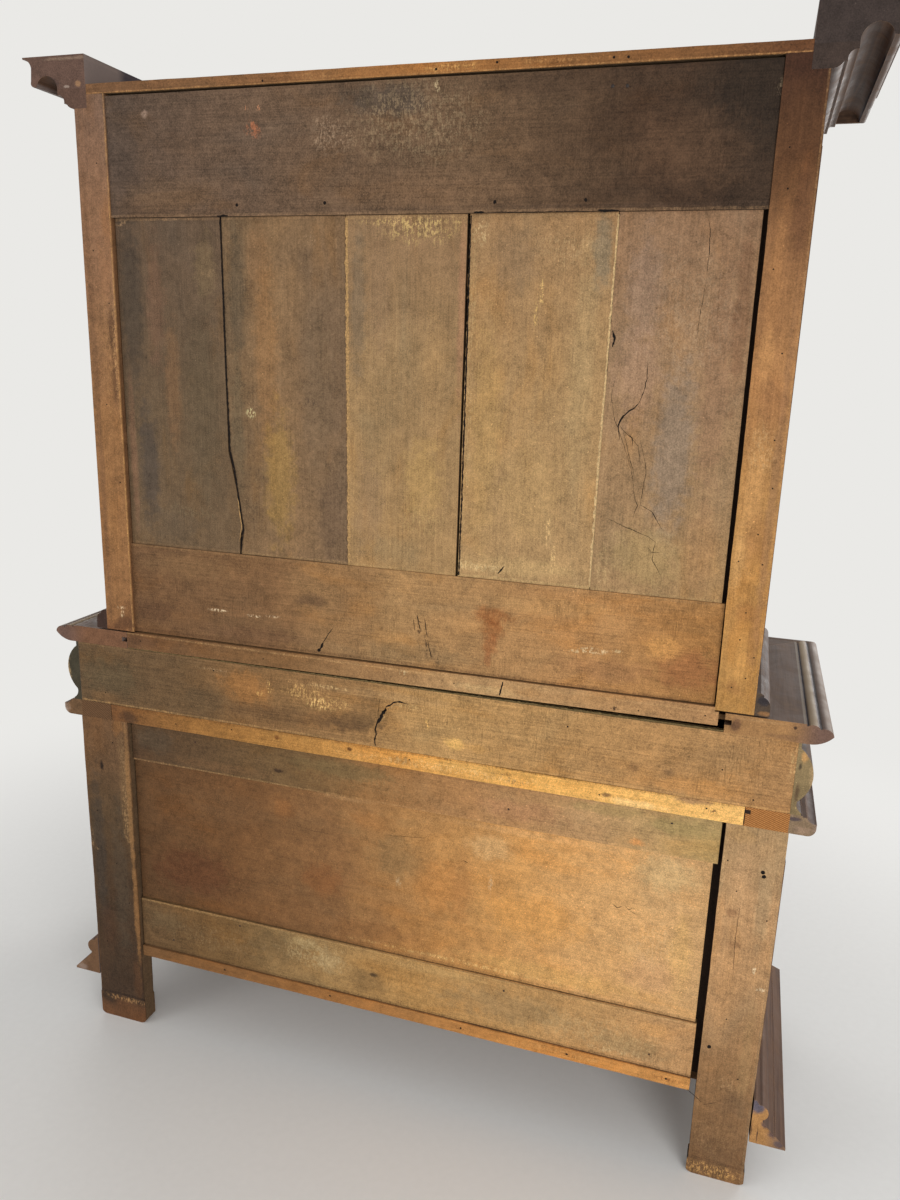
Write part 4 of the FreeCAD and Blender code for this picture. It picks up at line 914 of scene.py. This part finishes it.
def dress_rest():
    """The finished sides, mouldings and front, and the plain inside."""
    walnut = ((61, 42, 31), (92, 66, 48), (122, 94, 71))
    oiled = ((74, 51, 39), (105, 77, 59), (134, 105, 82))
    table = ((82, 62, 50), (108, 84, 68), (138, 114, 90))
    crown_marks = [(671, 2101, 6, 5, 168, 128, 92, 0.7), (698, 2097, 6, 2, 170, 150, 136, 0.8),
                   (735, 2104, 18, 8, 62, 50, 50, 0.6), (690, 2146, 60, 3, 150, 126, 106, 0.6)]
    base_marks = [(-768, 180, 1.3, 18, 60, 44, 40, 0.9), (-772, 142, 1.3, 16, 70, 50, 40, 0.8),
                  (-784, 130, 1.3, 20, 70, 50, 44, 0.8), (-776, 202, 18, 18, 84, 84, 100, 0.9),
                  (-798, 162, 9, 10, 84, 70, 74, 0.8), (-811, 142, 8, 9, 84, 70, 74, 0.8),
                  (-825, 122, 9, 8, 90, 76, 78, 0.8), (820, 120, 12, 8, 150, 130, 118, 0.6)]
    cushion_marks = [(-777, 947, 6, 12, 176, 134, 84, 0.9), (-783, 960, 3, 10, 66, 66, 96, 0.8),
                     (-772, 930, 3, 8, 54, 46, 38, 0.8), (-772, 880, 4, 16, 84, 62, 46, 0.7)]
    shoe_marks = [(-700, 1019, 14, 5, 150, 108, 68, 0.8), (-698, 1042, 10, 9, 42, 40, 46, 0.8)]
    waist_marks = [(-790, 806, 14, 8, 150, 124, 102, 0.7), (-775, 826, 10, 4, 70, 60, 66, 0.8)]
    runs = [
        ("crown_moulding", walnut, (102, 78, 67), (60, 50, 46), None, crown_marks),
        ("bed_moulding", walnut, (96, 72, 60), (62, 50, 44), None, ()),
        ("frieze_boards", walnut, (66, 60, 46), (134, 114, 80), (788, 797, 160, 134, 98), cushion_marks),
        ("waist_moulding", oiled, (110, 82, 56), (132, 110, 86), (800, 813, 146, 124, 108), waist_marks),
        ("upper_base_moulding", walnut, (64, 46, 38), (78, 64, 52), None, shoe_marks),
        ("base_moulding", oiled, (112, 82, 58), (172, 126, 76), (790, 830, 128, 100, 78), base_marks),
        ("table_front_board", table, (0, 0, 0), (0, 0, 0), None, ()),
    ]
    for number, (node, tones, *ends) in enumerate(runs):
        dress(polished_wood(node + "_walnut", tones, "X", number * 2.7, ends, node=node), node)
    dress_table_ends(table)
    upright = polished_wood("upright_walnut", walnut, "Z", 6.0)
    dark_walnut = ((40, 27, 21), (62, 43, 33), (90, 70, 56))
    turned = polished_wood("turned_walnut", dark_walnut, "Z", 7.0, rough=0.4)
    inside = plain_oak("inside_oak", ((112, 84, 56), (146, 112, 76)), "X", 30.0)
    dress(polished_wood("side_walnut", walnut, "Y", 5.0), "side_rails")
    dress(polished_wood("drawer_front_walnut", walnut, "X", 9.0), "drawer_left_front", "drawer_right_front")
    dress(upright, "side_panels", *(door + "_panel" for door in doors))
    dress(turned, "front_feet", "drawer_left_knobs", "drawer_right_knobs",
          *(door + "_knob" for door in doors))
    dress(inside, "drawer_runners", "shelves_and_cleats", "upper_floor_board", "drawer_left_box",
          "drawer_right_box")
    dress(iron(), "case_hinges", *(door + "_hinges" for door in doors))
    dress(end_grain_wood("rail_ends"), "waist_rails")
    dress_frames(walnut)


def dress_table_ends(table):
    """The sawn ends of the table's side boards, with bands of painted sheen and painted shade along their
    grooves.
    """
    marks = [(-655, 990, 9, 12, 92, 62, 48, 0.7), (-755, 1000, 3, 3, 50, 36, 30, 0.9),
             (-700, 1004, 40, 3, 170, 132, 90, 0.5), (-740, 980, 30, 5, 120, 88, 62, 0.5)]
    rim = (735, 800, 112, 86, 74)
    # Bands along the profile: the light ones are painted sheen on the nosing, the dark ones painted shade
    # in the grooves.
    profile_sheen_and_shade = [(786, 7.5, 158, 136, 104, 0.75), (797.5, 3.2, 52, 46, 50, 0.85),
               (775.5, 2.6, 50, 46, 56, 0.85), (771, 2.2, 150, 138, 122, 0.6),
               (815, 8.0, 140, 120, 100, 0.5)]
    for node, side, spots in (("table_end_right", 1, ()), ("table_end_left", -1, marks)):
        lines = [("X", side * place, *row) for place, *row in profile_sheen_and_shade]
        ends = ((120, 84, 60), (156, 116, 74), rim, spots)
        dress(polished_wood(node + "_walnut", table, "Y", 32.0 - side, ends, rough=0.52, lines=lines), node)


def dress_frames(walnut):
    """Door and case frames: upright stiles between rails laid level."""
    for door in doors:
        low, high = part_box(door + "_frame")
        panel_low, panel_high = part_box(door + "_panel")
        rail = (panel_low.x + 9 * MM, panel_high.x - 9 * MM, low.z, high.z)
        seed = len(door) * 1.3 + rail[0] * 9
        dress(polished_wood(door + "_walnut", walnut, "Z", seed, level=[rail]), door + "_frame")
    for case in ("lower", "upper"):
        name = case + "_front_frame"
        low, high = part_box(name)
        door_low, door_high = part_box(case + "_door_left_frame")
        reach = -door_low.x + 2 * MM
        rails = [(-reach, reach, low.z, door_low.z), (-reach, reach, door_high.z, high.z)]
        dress(polished_wood(name + "_walnut", walnut, "Z", len(name) * 1.1, level=rails), name)


def mark_joints(dark):
    """The open joints between the upright boards, and the bare arrises beside them."""
    pale = plain_mark("bare_edge", 200, 158, 104)
    ribbons("open_joint_1", "back_board_5", dark,
            (3.6, (378, 1856), (376, 1710), (375, 1598), (373, 1521), (371, 1419), (363, 1390), (354, 1325),
             (345, 1263), (352, 1210)), taper=0.1)
    ribbons("open_joint_3", "back_board_2", dark,
            (3.0, (-119, 1858), (-119.5, 1650), (-120, 1450), (-119, 1212)), taper=0.1)
    ribbons("bare_edge_2", "back_board_3", pale,
            (6.0, (117, 1857), (115, 1650), (111.5, 1430), (109.5, 1215)), taper=0.1)
    ribbons("bare_edge_4", "back_board_2", plain_mark("pale_edge", 228, 192, 138),
            (3.6, (-377, 1857), (-375, 1700), (-374.5, 1600)),
            (5.2, (-374.5, 1600), (-372.5, 1400), (-371.5, 1215)), taper=0.1)
    ribbons("bare_edge_low", "back_board_5", pale, (2.0, (357, 1330), (349, 1268), (355, 1236)))


def mark_upper(dark):
    """Cracks and gaps of the upper case's back."""
    ribbons("cracks_board_1", "back_board_1", dark,
            (1.4, (-444, 1618), (-445, 1592), (-442, 1570), (-434, 1549)),
            (2.4, (-436, 1553), (-427, 1541), (-419, 1536), (-410, 1527), (-405, 1519), (-402, 1510),
             (-406, 1486)),
            (1.0, (-520, 1858), (-527, 1834), (-529, 1800), (-529, 1755)),
            (0.7, (-529, 1755), (-524, 1700), (-522, 1660)),
            (0.8, (-392, 1600), (-386, 1560), (-395, 1520), (-411, 1486), (-431, 1435), (-442, 1382)),
            (1.0, (-404, 1512), (-414, 1500), (-428, 1490), (-430, 1470)),
            (0.8, (-418, 1500), (-440, 1476), (-446, 1440)),
            (0.8, (-436, 1400), (-446, 1372), (-440, 1350)),
            (0.8, (-470, 1300), (-478, 1290), (-492, 1292)),
            (0.9, (-412, 1500), (-424, 1462), (-437, 1425)),
            (0.8, (-442, 1488), (-457, 1436), (-452, 1383), (-449, 1361)),
            (1.0, (-393, 1346), (-428, 1332), (-470, 1318), (-485, 1308)),
            (1.1, (-451, 1374), (-473, 1363), (-493, 1333)),
            (1.0, (-483, 1313), (-480, 1277), (-497, 1251)))
    ribbons("knot_hole", "back_board_1", dark, (5.0, (-380, 1670), (-385, 1658), (-382, 1643)))
    ribbons("chips_board_2", "back_board_2", dark, (3.0, (-196, 1222), (-202, 1231), (-208, 1238)))
    ribbons("cracks_bottom", "back_bottom_board", dark,
            (5.0, (176, 1021), (170, 1032), (165, 1042)), (1.6, (167, 1040), (156, 1058), (144, 1076)),
            (2.2, (-37, 1124), (-40, 1110), (-44, 1096)), (1.4, (-52, 1120), (-56, 1100), (-58, 1084)),
            (1.4, (-60, 1076), (-66, 1054), (-70, 1036)), (1.0, (-30, 1116), (-33, 1092)))


def mark_lower(dark):
    """Cracks, seams and light arrises of the table, the frieze and the lower case's back."""
    ribbons("light_arrises", "lower_back_bottom_rail", plain_mark("light_arris", 176, 136, 88),
            (2.6, (618, 344.5), (300, 344.8), (60, 344.2)),
            (2.0, (40, 344.6), (-240, 344.2), (-610, 344.6)), taper=0.1)
    ribbons("crack_field", "table_field_board", dark,
            (3.4, (-219, 1012), (-216, 998), (-213, 984)), taper=0.2)
    # A mid-tone sheet lying over the shaded seam between frieze and table field board: painted shade,
    # lighter than the open gap renders.
    ribbons("seam_shade_sheet", "frieze_back_board", plain_mark("fine_mottle", 118, 98, 62),
            (2.0, (634, 974.2), (200, 974.2)), (2.8, (200, 974.5), (-200, 974.7)),
            (3.6, (-200, 975.0), (-634, 975.3)), taper=0.05)
    ribbons("cracks_frieze", "frieze_back_board", dark,
            (2.6, (-26, 938), (-8, 941), (6, 938), (14, 930), (22, 927), (24, 917), (32, 913)),
            (6.5, (22, 921), (30, 910), (34, 899), (42, 886)),
            (3.4, (42, 888), (45, 874), (43, 862), (47, 850), (45, 837)),
            (0.9, (36, 940), (38, 925), (40, 905)), taper=0.25)
    ribbons("torn_lip", "frieze_back_board", plain_mark("torn_wood", 186, 146, 96),
            (3.6, (-10, 934), (4, 932), (12, 925), (18, 919)), (2.6, (20, 912), (27, 902), (34, 890)))
    ribbons("cracks_left_post", "lower_rear_post_left", dark,
            (1.4, (-642, 198), (-662, 184), (-672, 176)), (1.2, (-675, 172), (-688, 178), (-700, 184)),
            (0.7, (-700, 640), (-698, 560), (-702, 470)))
    ribbons("cracks_panel", "lower_back_panel", dark,
            (1.4, (-462, 572), (-470, 566), (-480, 570)), (1.2, (-486, 572), (-494, 566), (-500, 572)),
            (1.0, (-496, 564), (-505, 560), (-512, 560)), (1.2, (-148, 604), (-160, 600)),
            (0.6, (30, 628), (-20, 634), (-70, 640)), (0.6, (250, 612), (200, 606), (150, 606)))


def mark_holes(dark):
    """Slots under the top board, nail holes, worm holes and the heads that show."""
    ribbons("board_slots", "back_top_board", dark,
            (3.4, (381, 1861.5), (356, 1861.5)), (3.6, (-126, 1862), (-146, 1862)),
            (4.0, (-342, 1862), (-378, 1862)), (1.2, (-146, 1861.4), (-342, 1861.4)))
    domes("holes", dark, 0.15,
          ("back_top_board", 3.4, (337, 1880.5), (157, 1881.3), (-163.5, 1878.2), (-321, 1879)),
          ("upper_top_board", 2.4, (-353, 2091), (-376, 2090), (-52, 2089), (277, 2087), (-159, 2094)),
          ("back_bottom_board", 4.2, (175, 1025)),
          ("lower_rear_post_left", 4.4, (-735, 700), (-732, 708), (-674, 309)),
          ("lower_rear_post_left", 1.7, (-690, 660), (-668, 720), (-750, 610), (-700, 380), (-735, 250)),
          ("lower_rear_post_right", 1.8, (690, 740), (745, 560), (700, 430), (672, 330), (742, 210)),
          ("upper_rear_stile_left", 1.6, (-636, 1950), (-640, 1890), (-664, 1500), (-655, 1340),
           (-668, 1288), (-650, 1200), (-672, 1120), (-640, 1060), (-632, 1770), (-660, 1640),
           (-628, 1290), (-662, 1080), (-645, 1150), (-670, 1420)),
          ("upper_rear_stile_right", 1.6, (640, 1960), (660, 1800), (630, 1700), (650, 1500), (628, 1340)),
          ("lower_bottom_board", 2.6, (-160, 207), (-393, 207), (-598, 207), (150, 207), (420, 207)),
          ("waist_back_strip", 1.8, (520, 812), (380, 820), (-30, 818), (-420, 810), (-620, 818)),
          ("table_field_board", 1.6, (600, 994), (300, 992), (-120, 996), (-480, 992), (-600, 1000)),
          ("frieze_back_board", 1.8, (700, 860), (420, 950), (-350, 940), (-640, 900), (-700, 850)))
    domes("nail_heads", iron(), 1.0,
          ("back_top_board", 3.0, (-353.5, 2050), (-377, 2049)),
          ("lower_back_top_rail", 2.2, (-560, 770), (-240, 740), (480, 770)),
          ("lower_back_bottom_rail", 2.2, (560, 250), (380, 330), (-250, 320), (-560, 250)))


def floor_material():
    """Pale floor that takes the backdrop's own tone away from the object, so no edge shows."""
    g = painted("floor_pale")
    base = g.mix(g.noise(60.0, 2.0, 0.5), colour(238, 237, 234), colour(243, 242, 239))
    g.fill(g.shader, Base_Color=base, Roughness=0.9, Specular_IOR_Level=0.1)
    flat = g.vector("MULTIPLY", g.place, (1.0, 1.0, 0.0))[0]
    reach = g.vector("LENGTH", flat)["Value"]
    factor = g.times(g.ramp(reach, 1.1, 2.6), g.seen())
    glow = g.add("ShaderNodeEmission", colour(*backdrop_tone))
    blend = g.add("ShaderNodeMixShader", factor, g.shader.outputs[0], glow.outputs[0])
    g.join(blend.outputs[0], g.tree.nodes["Material Output"].inputs[0])
    return g.owner


def set_stage():
    """Plain pale floor and backdrop, and soft light from both sides."""
    mesh = bmesh.new()
    bmesh.ops.create_grid(mesh, x_segments=1, y_segments=1, size=floor_reach)
    floor = as_object("floor", mesh, floor_material())
    set_world()
    add_lamp("key_back", (-2.4, 3.4, 1.7), (0.0, 0.3, 1.0), 70.0)
    add_lamp("fill_back", (3.0, 3.2, 1.6), (0.1, 0.3, 1.0), 28.0)
    add_lamp("key_front", (-2.4, -3.6, 1.9), (0.0, -0.3, 1.0), 72.0)
    add_lamp("fill_front", (3.0, -3.2, 1.6), (0.0, -0.3, 1.0), 30.0)


def set_world():
    """White light at half strength from all round; the camera sees the backdrop's tone instead."""
    g = Graph(bpy.data.worlds.new("world"))
    bpy.context.scene.world = g.owner
    sky = g.tree.nodes["Background"]
    g.fill(sky, Color=(1.0, 1.0, 1.0, 1.0), Strength=0.5)
    shown = g.add("ShaderNodeBackground", colour(*backdrop_tone))
    blend = g.add("ShaderNodeMixShader", g.seen(), sky.outputs[0], shown.outputs[0])
    g.join(blend.outputs[0], g.tree.nodes["World Output"].inputs[0])


def add_lamp(name, place, target, power):
    data = bpy.data.lights.new(name, "AREA")
    data.shape = "DISK"
    data.size = lamp_size
    data.energy = power
    lamp = bpy.data.objects.new(name, data)
    ahead = Vector(target) - Vector(place)
    lamp.matrix_world = Matrix.Translation(place) @ ahead.to_track_quat("-Z", "Y").to_matrix().to_4x4()
    bpy.context.scene.collection.objects.link(lamp)


bpy.context.scene.view_settings.view_transform = "Standard"
# Without a seed, noise_vector starts from the time and the boards waver another way each run
noise.seed_set(7)
set_camera()
dress_back()
dress_rest()
dark = plain_mark("crack", 28, 20, 15)
mark_joints(dark)
mark_upper(dark)
mark_lower(dark)
mark_holes(dark)
set_stage()
